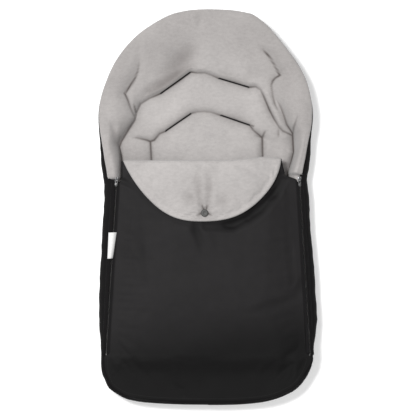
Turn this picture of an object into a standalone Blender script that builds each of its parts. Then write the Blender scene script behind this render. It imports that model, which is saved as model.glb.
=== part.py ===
"""Car seat footmuff: a padded bag with a hood, lying on its back.

+X is to the right, +Y towards the hood, +Z up. Metres. The origin is under the middle of its box.
"""
import math

import bmesh
import bpy
from mathutils import Matrix, Vector

# Plan of the bag, seen from above
HEAD_Y = 0.400  # tip of the hood
FOOT_Y = -0.400  # tip of the foot
HOOD_HALF_WIDTH = 0.2155
HOOD_CENTRE_Y = 0.165  # where the round hood starts
WAIST_HALF_WIDTH = 0.2035
WAIST_Y = 0.043
HIP_HALF_WIDTH = 0.2200
HIP_Y = -0.217
FOOT_HALF_WIDTH = 0.2140
FOOT_CORNER_Y = -0.298  # where the round foot starts
FOOT_POWER = 2.9  # above 2 the foot is squarer than an ellipse

# Cloth and padding
SHELL_THICK = 0.0012
FLEECE_THICK = 0.0030
GAP = 0.0003  # between pieces that touch
BACK_WADDING_THICK = 0.0110
BACK_PUFF = 0.0100  # loft of the quilting above its seams
SIDE_THICK = 0.0120
HOOD_EDGE_THICK = 0.0085  # at the free edge of the hood
HOOD_BULGE = 0.0110  # loft of the padded rim
SIDE_EDGE_Z = 0.0600  # height of the zips
SIDE_BELLY_Z = 0.0330  # height at which the sides stand widest
SIDE_FOOT_WIDTH = 0.0340  # how far the sides tuck in under the bag
HOOD_FOOT_WIDTH = 0.0520
NARROW_FOOT_Y = 0.0  # the tuck widens from here
WIDE_FOOT_Y = 0.100  # to here
HOOD_EDGE_Z = 0.0540
RIM_END_Y = 0.0640  # lower end of the fleece rim
RIM_END_INSET = 0.0135  # where the rim's edge has drawn in at its lower end
RIM_TURN = 0.090  # length over which it draws in

# Quilted arches on the back panel
ARCH_RISE = 0.104
ARCH_POWER = 1.6
ARCH_LOW_Y = -0.050
UPPER_SEAM_Y = 0.170
LOWER_SEAM_Y = 0.092
SEAM_HALF_WIDTH = 0.010
SEAM_DEPTH = 0.0075

# Harness slots
SLOT_LENGTH = 0.064
SLOT_WIDTH = 0.010
SLOT_TILT = math.radians(26.6)
SLOT_CENTRE_X = 0.058
UPPER_SLOT_Y = 0.2530
LOWER_SLOT_Y = 0.1740
CROTCH_SLOT_LENGTH = 0.056
CROTCH_SLOT_Y = -0.010
BINDING_THICK = 0.0010
BINDING_PROUD = 0.0012
CUT_LOW = -SLOT_WIDTH  # the slot cutters stand clear of the panel below and above
CUT_HIGH = BACK_WADDING_THICK + BACK_PUFF + 4 * SLOT_WIDTH

# Zips, one straight line on each side
ZIP_TOP = (0.1840, 0.0620)
ZIP_BOTTOM = (0.2060, -0.2990)
COIL_WIDTH = 0.0022
COIL_HEIGHT = 0.0020
TAPE_WIDTH = 0.0031
TAPE_THICK = 0.0008
COIL_SPLIT = 0.0012  # between the two halves of the coil
SLIDER_LENGTH = 0.0090
SLIDER_WIDTH = 0.0078
SLIDER_PLATE = 0.0010
SLIDER_WEB = 0.0006
BRIDGE_WIDTH = 0.0020
BRIDGE_HEIGHT = 0.0031
BRIDGE_THICK = 0.0008
PULL_LENGTH = 0.0170
PULL_WIDTH = 0.0056
PULL_THICK = 0.0012
PIN_RADIUS = 0.00065
STOP_LENGTH = 0.0030
PARK_ROOM = 0.0012  # between a parked slider and the apron's half of the coil

# Apron and flap
HINGE_Y = -0.300  # line about which the apron folds down
APRON_TOP_Y = 0.0960  # fold line of the flap
APRON_TOP_HALF_WIDTH = 0.1610
CORNER_POWER = 0.8  # below 1 the apron's free corners draw in early
APRON_CROWN = 0.0180
APRON_PROUD = 0.0005  # above the zips
CHEST_DROP = 0.5  # share of the crown that is gone at the flap's fold
APRON_EDGE_THICK = 0.0080
APRON_LOFT = 0.0060
FLAP_HALF_WIDTH = 0.1595
FLAP_DEPTH = 0.1240
FLAP_EDGE_THICK = 0.0065
FLAP_LOFT = 0.0030
FLAP_REST_GAP = 0.0005
COVER_EDGE_INSET = 0.0130
APRON_LEVEL_Y = -0.140  # the apron slopes to the foot from here

# Snap fastener and label
SNAP_Y = -0.0105
SNAP_CAP_RADIUS = 0.0075
SNAP_CAP_HEIGHT = 0.0026
SNAP_POST_RADIUS = 0.0022
SOCKET_RADIUS = 0.0050
SOCKET_THICK = 0.0012
STUD_RADIUS = 0.0014
STUD_HEIGHT = 0.0013
STUD_FLANGE_RADIUS = 0.0050
STUD_FLANGE_THICK = 0.0006
LABEL_Y = -0.0770
LABEL_LENGTH = 0.0540
LABEL_WIDTH = 0.0160
LABEL_THICK = 0.0006
LABEL_LIFT = 0.0066

# How finely the cloth is divided
HOOD_ANGLES = (0, 9, 19, 30, 41, 52, 63, 73)
SIDE_STEPS = 7
FOOT_ANGLES = (75, 55, 38, 22, 9, 0)
WALL_STEPS = 6
BACK_COLUMNS = 12
APRON_COLUMNS = 12
APRON_ROWS = 9
FLAP_ANGLES = (0, 15, 32, 50, 68, 80, 90)

COLOURS = {
    "fleece": ((0.50, 0.48, 0.47), 0.95, 0.0),
    "shell": ((0.026, 0.025, 0.027), 0.70, 0.0),
    "wadding": ((0.80, 0.80, 0.78), 0.95, 0.0),
    "tape": ((0.020, 0.020, 0.021), 0.80, 0.0),
    "coil": ((0.015, 0.015, 0.015), 0.40, 0.0),
    "slider": ((0.030, 0.030, 0.032), 0.35, 0.6),
    "snap": ((0.065, 0.067, 0.066), 0.40, 0.0),
    "label": ((0.85, 0.85, 0.84), 0.80, 0.0),
}


def smooth(low, high, value):
    share = min(max((value - low) / (high - low), 0.0), 1.0)
    return share * share * (3 - 2 * share)


def material_for(name, finish):
    colour, rough, metal = COLOURS[finish]
    material = bpy.data.materials.new(name + "_material")
    material.use_nodes = True
    shader = material.node_tree.nodes["Principled BSDF"]
    shader.inputs["Base Color"].default_value = (*colour, 1.0)
    shader.inputs["Roughness"].default_value = rough
    shader.inputs["Metallic"].default_value = metal
    material.diffuse_color = (*colour, 1.0)
    return material


def add_object(name, bm, finish, rounded=True):
    """Makes the node's object from the bmesh, with its faces outward and its own material."""
    bmesh.ops.remove_doubles(bm, verts=bm.verts, dist=0.00002)
    bmesh.ops.dissolve_degenerate(bm, edges=bm.edges, dist=0.00001)
    bmesh.ops.recalc_face_normals(bm, faces=bm.faces)
    if bm.calc_volume(signed=True) < 0:
        bmesh.ops.reverse_faces(bm, faces=bm.faces)
    mesh = bpy.data.meshes.new(name)
    bm.to_mesh(mesh)
    bm.free()
    if rounded:
        mesh.shade_smooth()
        mesh.set_sharp_from_angle(angle=math.radians(40))
    obj = bpy.data.objects.new(name, mesh)
    bpy.context.scene.collection.objects.link(obj)
    if finish:
        mesh.materials.append(material_for(name, finish))
    else:
        obj.hide_render = True
        obj.display_type = "WIRE"
    return obj


# The outline, by stations from the tip of the hood down the right side to the tip of the foot


def half_width(y):
    if y >= HOOD_CENTRE_Y:
        rise = (y - HOOD_CENTRE_Y) / (HEAD_Y - HOOD_CENTRE_Y)
        return HOOD_HALF_WIDTH * math.sqrt(max(0.0, 1 - rise * rise))
    if y >= WAIST_Y:
        return WAIST_HALF_WIDTH + (HOOD_HALF_WIDTH - WAIST_HALF_WIDTH) * smooth(WAIST_Y, HOOD_CENTRE_Y, y)
    if y >= HIP_Y:
        return HIP_HALF_WIDTH + (WAIST_HALF_WIDTH - HIP_HALF_WIDTH) * smooth(HIP_Y, WAIST_Y, y)
    if y >= FOOT_CORNER_Y:
        return FOOT_HALF_WIDTH + (HIP_HALF_WIDTH - FOOT_HALF_WIDTH) * smooth(FOOT_CORNER_Y, HIP_Y, y)
    reach = min(1.0, (FOOT_CORNER_Y - y) / (FOOT_CORNER_Y - FOOT_Y))
    return FOOT_HALF_WIDTH * (1 - reach**FOOT_POWER) ** (1 / FOOT_POWER)


def hood_point(angle):
    a = math.radians(angle)
    return Vector((HOOD_HALF_WIDTH * math.sin(a), HOOD_CENTRE_Y + (HEAD_Y - HOOD_CENTRE_Y) * math.cos(a)))


def foot_point(angle):
    a = math.radians(angle)
    across = math.sin(a) ** (2 / FOOT_POWER)
    along = max(0.0, math.cos(a)) ** (2 / FOOT_POWER)
    return Vector((FOOT_HALF_WIDTH * across, FOOT_CORNER_Y - (FOOT_CORNER_Y - FOOT_Y) * along))


def side_ys():
    """Heights of the stations between the round ends: the seams, the rim's end, the zips and the hinge."""
    ys = [HOOD_CENTRE_Y + 0.030]
    for seam in (UPPER_SEAM_Y, LOWER_SEAM_Y):
        ys += [seam + SEAM_HALF_WIDTH, seam, seam - SEAM_HALF_WIDTH]
    ys.insert(4, (UPPER_SEAM_Y + LOWER_SEAM_Y) / 2)
    step = (RIM_END_Y - HINGE_Y) / SIDE_STEPS
    return ys + [RIM_END_Y - i * step for i in range(SIDE_STEPS + 1)]


def outward(before, after):
    along = after - before
    return Vector((-along.y, along.x)).normalized()


def make_stations():
    """Each station is (outline point, outward direction) on the right side."""
    sides = [Vector((half_width(y), y)) for y in side_ys()]
    points = [hood_point(a) for a in HOOD_ANGLES] + sides + [foot_point(a) for a in FOOT_ANGLES]
    stations = []
    for i, p in enumerate(points):
        before = Vector((-points[1].x, points[1].y)) if i == 0 else points[i - 1]
        after = Vector((-points[-2].x, points[-2].y)) if i == len(points) - 1 else points[i + 1]
        straight = len(HOOD_ANGLES) <= i < len(points) - len(FOOT_ANGLES)
        stations.append((p, Vector((1.0, 0.0)) if straight else outward(before, after)))
    return stations


STATIONS = make_stations()
RIM_END = next(i for i, s in enumerate(STATIONS) if abs(s[0].y - RIM_END_Y) < 1e-6)
HINGE = next(i for i, s in enumerate(STATIONS) if abs(s[0].y - HINGE_Y) < 1e-6)


def inset_point(station, depth):
    point, out = STATIONS[station]
    if station in (0, len(STATIONS) - 1):
        out = Vector((0.0, out.y)).normalized()
    return point - out * depth


def foot_width(station):
    """How far the wall tucks in under the bag at this station."""
    y = STATIONS[station][0].y
    return SIDE_FOOT_WIDTH + (HOOD_FOOT_WIDTH - SIDE_FOOT_WIDTH) * smooth(NARROW_FOOT_Y, WIDE_FOOT_Y, y)


BACK_TOP = SHELL_THICK + GAP + BACK_WADDING_THICK + GAP + FLEECE_THICK  # top of the back panel at its edge

# Sheets and layers


def closed_sheet(name, columns, rows, low, high, finish):
    """A grid, closed between a low and a high surface; both map (column, row) to a point."""
    bm = bmesh.new()
    bmesh.ops.create_grid(bm, x_segments=columns, y_segments=rows, size=0.5)
    places = {}
    for v in bm.verts:
        places[v] = (round((v.co.x + 0.5) * columns), round((v.co.y + 0.5) * rows))
    grown = bmesh.ops.extrude_face_region(bm, geom=bm.faces[:], use_keep_orig=True)
    raised = [g for g in grown["geom"] if isinstance(g, bmesh.types.BMVert)]
    for v in raised:
        places[v] = (round((v.co.x + 0.5) * columns), round((v.co.y + 0.5) * rows))
        v.co = high(*places[v])
    lifted = set(raised)
    for v in bm.verts:
        if v not in lifted:
            v.co = low(*places[v])
    return add_object(name, bm, finish)


def layered(name, columns, rows, shell, lining):
    """Three nodes between the shell's outer face and the lining's face: shell, wadding and fleece."""

    def between(depth, from_shell):
        def place(c, r):
            a = shell(c, r)
            b = lining(c, r)
            way = (b - a).normalized()
            return a + way * depth if from_shell else b - way * depth

        return place

    outer_high = between(SHELL_THICK, True)
    outer = closed_sheet(name + "_outer", columns, rows, between(0, True), outer_high, "shell")
    wadding = closed_sheet(
        name + "_wadding", columns, rows,
        between(SHELL_THICK + GAP, True), between(FLEECE_THICK + GAP, False), "wadding",
    )
    fleece_low = between(FLEECE_THICK, False)
    inner = closed_sheet(name + "_lining", columns, rows, fleece_low, between(0, False), "fleece")
    return outer, wadding, inner


def zip_x(y):
    share = (ZIP_TOP[1] - y) / (ZIP_TOP[1] - ZIP_BOTTOM[1])
    return ZIP_TOP[0] + share * (ZIP_BOTTOM[0] - ZIP_TOP[0])


# From the zip's middle to the panel's edge
ZIP_REACH = COIL_SPLIT / 2 + COIL_WIDTH + GAP + TAPE_WIDTH + GAP


def wall_edge_inset(station):
    """How far inside the outline the side wall's upper edge lies."""
    point = STATIONS[station][0]
    along_zip = point.x - zip_x(point.y) - ZIP_REACH
    share = smooth(HINGE_Y - 0.050, HINGE_Y, point.y)
    return max(0.001, along_zip) * share + COVER_EDGE_INSET * (1 - share)


def side_section(step, thick, tuck, edge):
    """Inset and height of the side wall's section, from its foot (step 0) to its upper edge."""
    angle = math.pi * step / WALL_STEPS
    if step * 2 <= WALL_STEPS:
        inset = thick + (tuck - thick) * (1 - math.sin(angle))
        return inset, thick + (SIDE_BELLY_Z - thick) * (1 - math.cos(angle))
    inset = thick + (edge - thick) * (1 - math.sin(angle))
    return inset, SIDE_BELLY_Z - (SIDE_EDGE_Z - thick - SIDE_BELLY_Z) * math.cos(angle)


def side_wall_point(station, step, thick):
    """Point at a depth inside the side wall."""
    inset, z = side_section(step, thick, foot_width(station), wall_edge_inset(station))
    flat = inset_point(station, inset)
    return Vector((flat.x, flat.y, z))


def hood_wall_point(station, step, inner):
    """Outer or inner face of the hood's padded rim, from its foot (step 0) to its free edge."""
    share = step / WALL_STEPS
    angle = share * math.pi / 2
    tuck = foot_width(station)
    turned = 1 - smooth(RIM_END_Y, RIM_END_Y + RIM_TURN, STATIONS[station][0].y)
    edge_z = HOOD_EDGE_Z + (SIDE_EDGE_Z - HOOD_EDGE_Z) * turned
    if inner:
        inset = tuck * (1 - share) + RIM_END_INSET * turned * share
        low = BACK_TOP + GAP
        rise = math.sin(angle) ** 0.9
        bulge = HOOD_BULGE * math.sin(math.pi * share) * (1 - share) * (1 - turned)
        z = low + (edge_z + HOOD_EDGE_THICK - low) * rise + bulge
    else:
        side_inset, side_z = side_section(step, 0.0, tuck, RIM_END_INSET)
        inset = tuck * (1 - math.sin(angle)) * (1 - turned) + side_inset * turned
        z = edge_z * (1 - math.cos(angle)) * (1 - turned) + side_z * turned
    flat = inset_point(station, inset)
    return Vector((flat.x, flat.y, z))


def mirrored(point, side):
    return Vector((point.x * side, point.y, point.z))


def ring_station(column, first, last):
    """A run of stations down one side and back up the other: (station, side)."""
    count = last - first
    if column <= count:
        return last - column, -1
    return first + (column - count), 1


def build_hood():
    columns = 2 * RIM_END

    def face(inner):
        def place(c, r):
            station, side = ring_station(c, 0, RIM_END)
            return mirrored(hood_wall_point(station, r, inner), side)

        return place

    layered("hood", columns, WALL_STEPS, face(False), face(True))


def build_sides():
    rows = HINGE - RIM_END
    for word, side in (("left", -1), ("right", 1)):

        def face(thick):
            def place(c, r):
                point = mirrored(side_wall_point(RIM_END + c, r, thick), side)
                if c == 0:
                    point.y -= GAP
                if c == rows:
                    point.y += GAP
                return point

            return place

        layered("side_" + word, rows, WALL_STEPS, face(0.0), face(SIDE_THICK))


def build_foot_wall():
    last = len(STATIONS) - 1
    count = last - HINGE

    def face(thick):
        def place(c, r):
            if c <= count:
                station, side = HINGE + c, 1
            else:
                station, side = last - (c - count), -1
            return mirrored(side_wall_point(station, r, thick), side)

        return place

    layered("foot_wall", 2 * count, WALL_STEPS, face(0.0), face(SIDE_THICK))


# Back panel


def arch_lift(y):
    top = inset_point(0, foot_width(0)).y
    share = min(max((y - ARCH_LOW_Y) / (top - ARCH_LOW_Y), 0.0), 1.0)
    return ARCH_RISE * math.sin(math.pi * share)


def back_point(column, row, columns):
    """A point of the back panel's plan; rows are the stations, bent into arches under the hood."""
    edge = inset_point(row, foot_width(row) + GAP)
    across = 2 * column / columns - 1
    at_tip = row in (0, len(STATIONS) - 1)
    lift = 0.0 if at_tip else arch_lift(edge.y) * (1 - abs(across) ** ARCH_POWER)
    return Vector((edge.x * across, edge.y + lift, 0.0)), across


def seam_at(row):
    y = STATIONS[row][0].y
    return any(abs(y - seam) < 1e-6 for seam in (UPPER_SEAM_Y, LOWER_SEAM_Y))


def stadium(name, length, width, low, high, centre, tilt, finish=None):
    """An upright bar with round ends."""
    bm = bmesh.new()
    radius = width / 2
    ends = []
    for i in range(7):
        a = -math.pi / 2 + math.pi * i / 6
        ends.append((length / 2 - radius + radius * math.cos(a), radius * math.sin(a)))
    loop = ends + [(-x, -y) for x, y in ends]
    verts = [bm.verts.new((x, y, low)) for x, y in loop]
    base = bm.faces.new(verts)
    grown = bmesh.ops.extrude_face_region(bm, geom=[base], use_keep_orig=True)
    top = [g for g in grown["geom"] if isinstance(g, bmesh.types.BMVert)]
    bmesh.ops.translate(bm, verts=top, vec=(0, 0, high - low))
    turn = Matrix.Translation((centre[0], centre[1], 0.0)) @ Matrix.Rotation(tilt, 4, "Z")
    bmesh.ops.transform(bm, matrix=turn, verts=bm.verts)
    return add_object(name, bm, finish, rounded=False)


def boolean(obj, other, operation="DIFFERENCE"):
    other.hide_render = True
    other.display_type = "WIRE"
    modifier = obj.modifiers.new(operation.lower(), "BOOLEAN")
    modifier.operation = operation
    modifier.solver = "EXACT"
    modifier.object = other
    return modifier


def slot_places():
    places = []
    for level, y in (("upper", UPPER_SLOT_Y), ("lower", LOWER_SLOT_Y)):
        for word, side in (("left", -1), ("right", 1)):
            centre = (side * SLOT_CENTRE_X, y)
            places.append((f"harness_slot_{level}_{word}", SLOT_LENGTH, centre, -side * SLOT_TILT))
    places.append(("crotch_slot", CROTCH_SLOT_LENGTH, (0.0, CROTCH_SLOT_Y), 0.0))
    return places


def back_height(across, row):
    """Top of the quilted fleece: full between the seams, drawn down along them and at the edge."""
    edge = 1 - abs(across) ** 4
    ends = smooth(0.0, 2.0, row) * smooth(0.0, 2.0, len(STATIONS) - 1 - row)
    lift = BACK_PUFF * edge * ends
    if seam_at(row):
        lift = max(0.0005, lift - SEAM_DEPTH * (1 - abs(across) ** 6))
    return BACK_TOP + lift


def build_back():
    rows = len(STATIONS) - 1

    def flat(z, columns):
        def place(c, r):
            point, _ = back_point(c, r, columns)
            point.z = z
            return point

        return place

    def top(c, r):
        point, across = back_point(c, r, BACK_COLUMNS)
        point.z = back_height(across, r)
        return point

    wadding_low = SHELL_THICK + GAP
    wadding_high = wadding_low + BACK_WADDING_THICK
    outer = closed_sheet("back_outer", 1, rows, flat(0.0, 1), flat(SHELL_THICK, 1), "shell")
    wadding = closed_sheet("back_wadding", 1, rows, flat(wadding_low, 1), flat(wadding_high, 1), "wadding")
    lining_low = flat(wadding_high + GAP, BACK_COLUMNS)
    lining = closed_sheet("back_lining", BACK_COLUMNS, rows, lining_low, top, "fleece")
    for name, length, centre, tilt in slot_places():
        clear = BINDING_THICK + GAP
        wide = SLOT_WIDTH + 2 * clear
        cutter = stadium(name + "_cutter", length + 2 * clear, wide, CUT_LOW, CUT_HIGH, centre, tilt)
        for layer in (outer, wadding, lining):
            boolean(layer, cutter)
        high = BACK_TOP + BACK_PUFF + BINDING_PROUD
        ring = stadium(
            name + "_binding", length + 2 * BINDING_THICK, SLOT_WIDTH + 2 * BINDING_THICK, GAP, high,
            centre, tilt, "shell",
        )
        hole = stadium(name + "_hole", length, SLOT_WIDTH, CUT_LOW, CUT_HIGH, centre, tilt)
        boolean(ring, hole)


# Apron, foot cover and flap


def apron_half_width(y):
    if y <= ZIP_TOP[1] - SLIDER_LENGTH - PULL_LENGTH:
        return zip_x(y) - ZIP_REACH
    corner = ZIP_TOP[1] - SLIDER_LENGTH - PULL_LENGTH
    share = ((y - corner) / (APRON_TOP_Y - corner)) ** CORNER_POWER
    start = zip_x(corner) - ZIP_REACH
    return start + (APRON_TOP_HALF_WIDTH - start) * share


def apron_top_z(across, y):
    """Top of the apron and of the foot cover: crowned across, lower towards the foot."""
    foot = smooth(FOOT_Y, APRON_LEVEL_Y, y)
    chest = 1 - CHEST_DROP * smooth(SNAP_Y, APRON_TOP_Y, y)
    return SIDE_EDGE_Z + APRON_PROUD + APRON_CROWN * foot * chest * (1 - across * across)


def apron_thickness(across):
    return APRON_EDGE_THICK + APRON_LOFT * (1 - across**4)


def cover_edge(row):
    """Right edge of the foot cover, a number of stations past the hinge."""
    edge = inset_point(HINGE + row, wall_edge_inset(HINGE + row) + GAP)
    if row == 0:
        edge.y = HINGE_Y
    return edge


def build_apron():
    ys = [HINGE_Y + GAP + (APRON_TOP_Y - HINGE_Y - GAP) * i / APRON_ROWS for i in range(APRON_ROWS + 1)]

    def face(inner):
        def place(c, r):
            across = 2 * c / APRON_COLUMNS - 1
            y = ys[r]
            z = apron_top_z(across, y) - (apron_thickness(across) if inner else 0.0)
            return Vector((across * apron_half_width(y), y, z))

        return place

    return layered("apron", APRON_COLUMNS, APRON_ROWS, face(False), face(True))


def build_foot_cover():
    rows = len(STATIONS) - 1 - HINGE

    def face(inner):
        def place(c, r):
            across = 2 * c / APRON_COLUMNS - 1
            edge = cover_edge(r)
            if r == rows:
                across = 1.0
            z = apron_top_z(across, edge.y) - (apron_thickness(across) if inner else 0.0)
            return Vector((across * edge.x, edge.y, z))

        return place

    layered("foot_cover", APRON_COLUMNS, rows, face(False), face(True))


def flap_point(column, row, inner):
    angle = math.radians(FLAP_ANGLES[row])
    across = 2 * column / APRON_COLUMNS - 1
    x = across * FLAP_HALF_WIDTH * math.cos(angle)
    y = APRON_TOP_Y - FLAP_DEPTH * math.sin(angle)
    rest_on = apron_top_z(x / apron_half_width(y), y) + FLAP_REST_GAP
    thick = FLAP_EDGE_THICK + FLAP_LOFT * (1 - across**4) * math.cos(angle)
    return Vector((x, y, rest_on + (thick if inner else 0.0)))


def round_bar(name, radius, low, high, centre, finish=None, sides=16, tip=None):
    """An upright round bar, or a dome if its tip is narrower."""
    bm = bmesh.new()
    matrix = Matrix.Translation((centre[0], centre[1], (low + high) / 2))
    top = radius if tip is None else tip
    bmesh.ops.create_cone(
        bm, cap_ends=True, segments=sides, radius1=radius, radius2=top, depth=high - low, matrix=matrix
    )
    return add_object(name, bm, finish)


def build_flap(apron_layers):
    layers = layered(
        "flap", APRON_COLUMNS, len(FLAP_ANGLES) - 1,
        lambda c, r: flap_point(c, r, False), lambda c, r: flap_point(c, r, True),
    )
    build_snap(apron_layers, layers)


def build_snap(apron_layers, flap_layers):
    """Cap and post through the flap, socket in its underside, stud on the apron."""
    centre = (0.0, SNAP_Y)
    ground = apron_top_z(0.0, SNAP_Y)
    under = ground + FLAP_REST_GAP
    over = under + FLAP_EDGE_THICK + FLAP_LOFT
    hole = round_bar("snap_hole", SNAP_POST_RADIUS + GAP, ground - 0.001, over + 0.01, centre)
    pocket_top = under + SOCKET_THICK + GAP
    pocket = round_bar("socket_pocket", SOCKET_RADIUS + GAP, ground - 0.002, pocket_top, centre)
    for layer in flap_layers:
        boolean(layer, hole)
        boolean(layer, pocket)
    cap_top = over + GAP + SNAP_CAP_HEIGHT
    cap = round_bar(
        "snap_cap", SNAP_CAP_RADIUS, over + GAP, cap_top, centre, "snap", 20, SNAP_CAP_RADIUS * 0.62
    )
    post_low = under + SOCKET_THICK + GAP
    post = round_bar("snap_post_bar", SNAP_POST_RADIUS, post_low, over + SNAP_CAP_HEIGHT / 2, centre)
    boolean(cap, post, "UNION")
    socket = round_bar("snap_socket", SOCKET_RADIUS, under, under + SOCKET_THICK - GAP / 2, centre, "snap")
    mouth = round_bar("socket_mouth", STUD_RADIUS + 2 * GAP, ground - 0.002, over, centre)
    boolean(socket, mouth)
    seat = round_bar("stud_seat", STUD_FLANGE_RADIUS + GAP, ground - STUD_FLANGE_THICK - GAP, over, centre)
    boolean(apron_layers[0], seat)
    stud = round_bar("snap_stud", STUD_FLANGE_RADIUS, ground - STUD_FLANGE_THICK, ground, centre, "snap")
    knob = round_bar("stud_knob", STUD_RADIUS, ground - STUD_FLANGE_THICK / 2, ground + STUD_HEIGHT, centre)
    boolean(stud, knob, "UNION")


# Zips


def box_body(name, low, high, finish=None):
    bm = bmesh.new()
    bmesh.ops.create_cube(bm, size=1.0)
    size = Vector(high) - Vector(low)
    middle = (Vector(high) + Vector(low)) / 2
    bmesh.ops.scale(bm, vec=size, verts=bm.verts)
    bmesh.ops.translate(bm, vec=middle, verts=bm.verts)
    return add_object(name, bm, finish, rounded=False)


def zip_bar(name, near, far, low, high, y_top, y_bottom, side, finish):
    """A straight bar beside the zip's middle line, between two distances from it."""
    bm = bmesh.new()
    bmesh.ops.create_cube(bm, size=2.0)
    for v in bm.verts:
        y = y_top if v.co.y > 0 else y_bottom
        reach = far if v.co.x > 0 else near
        v.co = Vector((side * (zip_x(y) + reach), y, high if v.co.z > 0 else low))
    return add_object(name, bm, finish, rounded=False)


TAPE_TOP = SIDE_EDGE_Z
TAPE_LOW = SIDE_EDGE_Z - TAPE_THICK
COIL_TOP = TAPE_LOW + TAPE_THICK / 2 + COIL_HEIGHT / 2
COIL_LOW = COIL_TOP - COIL_HEIGHT
PIN_Z = COIL_TOP + GAP + SLIDER_PLATE + PIN_RADIUS + 2 * GAP
ZIP_ANGLE = math.atan2(ZIP_BOTTOM[0] - ZIP_TOP[0], ZIP_TOP[1] - ZIP_BOTTOM[1])


def build_zip(word, side):
    low_end = ZIP_BOTTOM[1]
    slider_y = ZIP_TOP[1] - SLIDER_LENGTH / 2
    apron_start = ZIP_TOP[1] - SLIDER_LENGTH - PULL_LENGTH - GAP
    near = COIL_SPLIT / 2
    far = near + COIL_WIDTH
    parts = (
        ("coil", near, far, COIL_LOW, COIL_TOP),
        ("tape", far + GAP, far + GAP + TAPE_WIDTH, TAPE_LOW, TAPE_TOP),
    )
    for kind, a, b, low, high in parts:
        zip_bar(f"zip_{kind}_{word}", a, b, low, high, ZIP_TOP[1], low_end, side, kind)
        low_y = low_end + SLIDER_LENGTH + STOP_LENGTH + PARK_ROOM
        zip_bar(f"apron_zip_{kind}_{word}", -b, -a, low, high, apron_start, low_y, side, kind)
    stop_top = low_end + STOP_LENGTH
    a, b = -near - COIL_WIDTH, near - GAP
    zip_bar(f"zip_stop_{word}", a, b, COIL_LOW, COIL_TOP, stop_top, low_end, side, "slider")
    build_slider(word, side, slider_y)


def build_slider(word, side, slider_y):
    anchor = bpy.data.objects.new("slider_place_" + word, None)
    bpy.context.scene.collection.objects.link(anchor)
    anchor.location = (side * zip_x(slider_y), slider_y, 0.0)
    anchor.rotation_euler = (0.0, 0.0, side * ZIP_ANGLE)
    half = SLIDER_LENGTH / 2
    wide = SLIDER_WIDTH / 2
    top = COIL_TOP + GAP
    low = COIL_LOW - GAP
    slider = box_body("zip_slider_" + word, (-wide, -half, top), (wide, half, top + SLIDER_PLATE), "slider")
    bridge_top = top + SLIDER_PLATE + BRIDGE_HEIGHT
    reach = BRIDGE_WIDTH / 2
    inner = bridge_top - BRIDGE_THICK
    pin_y = half * 0.2
    pin_clear = PIN_RADIUS + 2 * GAP
    front = pin_y + pin_clear + BRIDGE_THICK
    rear = pin_y - pin_clear - BRIDGE_THICK
    sunk = top + SLIDER_PLATE / 2
    web = SLIDER_WEB / 2
    bars = (
        ("plate", (-wide, -half, low - SLIDER_PLATE), (wide, half, low)),
        ("web", (-web, 0.0, low - SLIDER_PLATE / 2), (web, half * 0.9, sunk)),
        ("post_front", (-reach, pin_y + pin_clear, sunk), (reach, front, inner + BRIDGE_THICK / 2)),
        ("post_rear", (-reach, rear, sunk), (reach, pin_y - pin_clear, inner + BRIDGE_THICK / 2)),
        ("span", (-reach, rear, inner), (reach, front, bridge_top)),
    )
    slider.parent = anchor
    for label, a, b in bars:
        bar = box_body(f"slider_{label}_{word}", a, b)
        bar.parent = anchor
        boolean(slider, bar, "UNION")
    build_pull(word, anchor, pin_y)


def build_pull(word, anchor, pin_y):
    """The tab hangs on a pin that passes under the slider's bridge."""
    pull = box_body(
        "zip_pull_" + word, (-PULL_WIDTH / 2, -PULL_LENGTH, -PULL_THICK / 2),
        (PULL_WIDTH / 2, -PULL_LENGTH * 0.3, PULL_THICK / 2), "slider",
    )
    pull.parent = anchor
    pull.location = (0.0, pin_y, PIN_Z)
    arm_in = BRIDGE_WIDTH / 2 + 2 * GAP
    arm_out = PULL_WIDTH / 2
    pieces = []
    for label, a, b in (("near", -arm_out, -arm_in), ("far", arm_in, arm_out)):
        low = (a, -PULL_LENGTH * 0.35, -PULL_THICK / 2)
        pieces.append(box_body(f"pull_arm_{label}_{word}", low, (b, PIN_RADIUS, PULL_THICK / 2)))
    bm = bmesh.new()
    turn = Matrix.Rotation(math.pi / 2, 4, "Y")
    bmesh.ops.create_cone(
        bm, cap_ends=True, segments=8, radius1=PIN_RADIUS, radius2=PIN_RADIUS,
        depth=PULL_WIDTH - 2 * GAP, matrix=turn,
    )
    pieces.append(add_object("pull_pin_" + word, bm, None))
    for piece in pieces:
        piece.parent = anchor
        piece.location = (0.0, pin_y, PIN_Z)
        boolean(pull, piece, "UNION")


def build_label():
    """A sewn tag that stands over the left zip from the apron's edge, above the slider's path."""
    rows = 6
    edge_gap = 0.0004

    def face(lift):
        def place(c, r):
            y = LABEL_Y + LABEL_LENGTH * (c / 2 - 0.5)
            share = r / rows
            x = -(zip_x(y) - ZIP_REACH - edge_gap) - LABEL_WIDTH * share
            rise = LABEL_LIFT * math.sin(min(1.0, share * 2.4) * math.pi / 2)
            return Vector((x, y, SIDE_EDGE_Z + 0.0012 + rise + lift))

        return place

    closed_sheet("side_label", 2, rows, face(0.0), face(LABEL_THICK), "label")


def main():
    for obj in list(bpy.data.objects):
        bpy.data.objects.remove(obj, do_unlink=True)
    build_back()
    build_hood()
    build_sides()
    build_foot_wall()
    build_foot_cover()
    apron_layers = build_apron()
    build_flap(apron_layers)
    for word, side in (("left", -1), ("right", 1)):
        build_zip(word, side)
    build_label()


main()
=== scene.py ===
import math
import bmesh
import bpy
import numpy as np
from mathutils import Matrix, Vector
from mathutils.bvhtree import BVHTree
from mathutils.kdtree import KDTree


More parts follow.
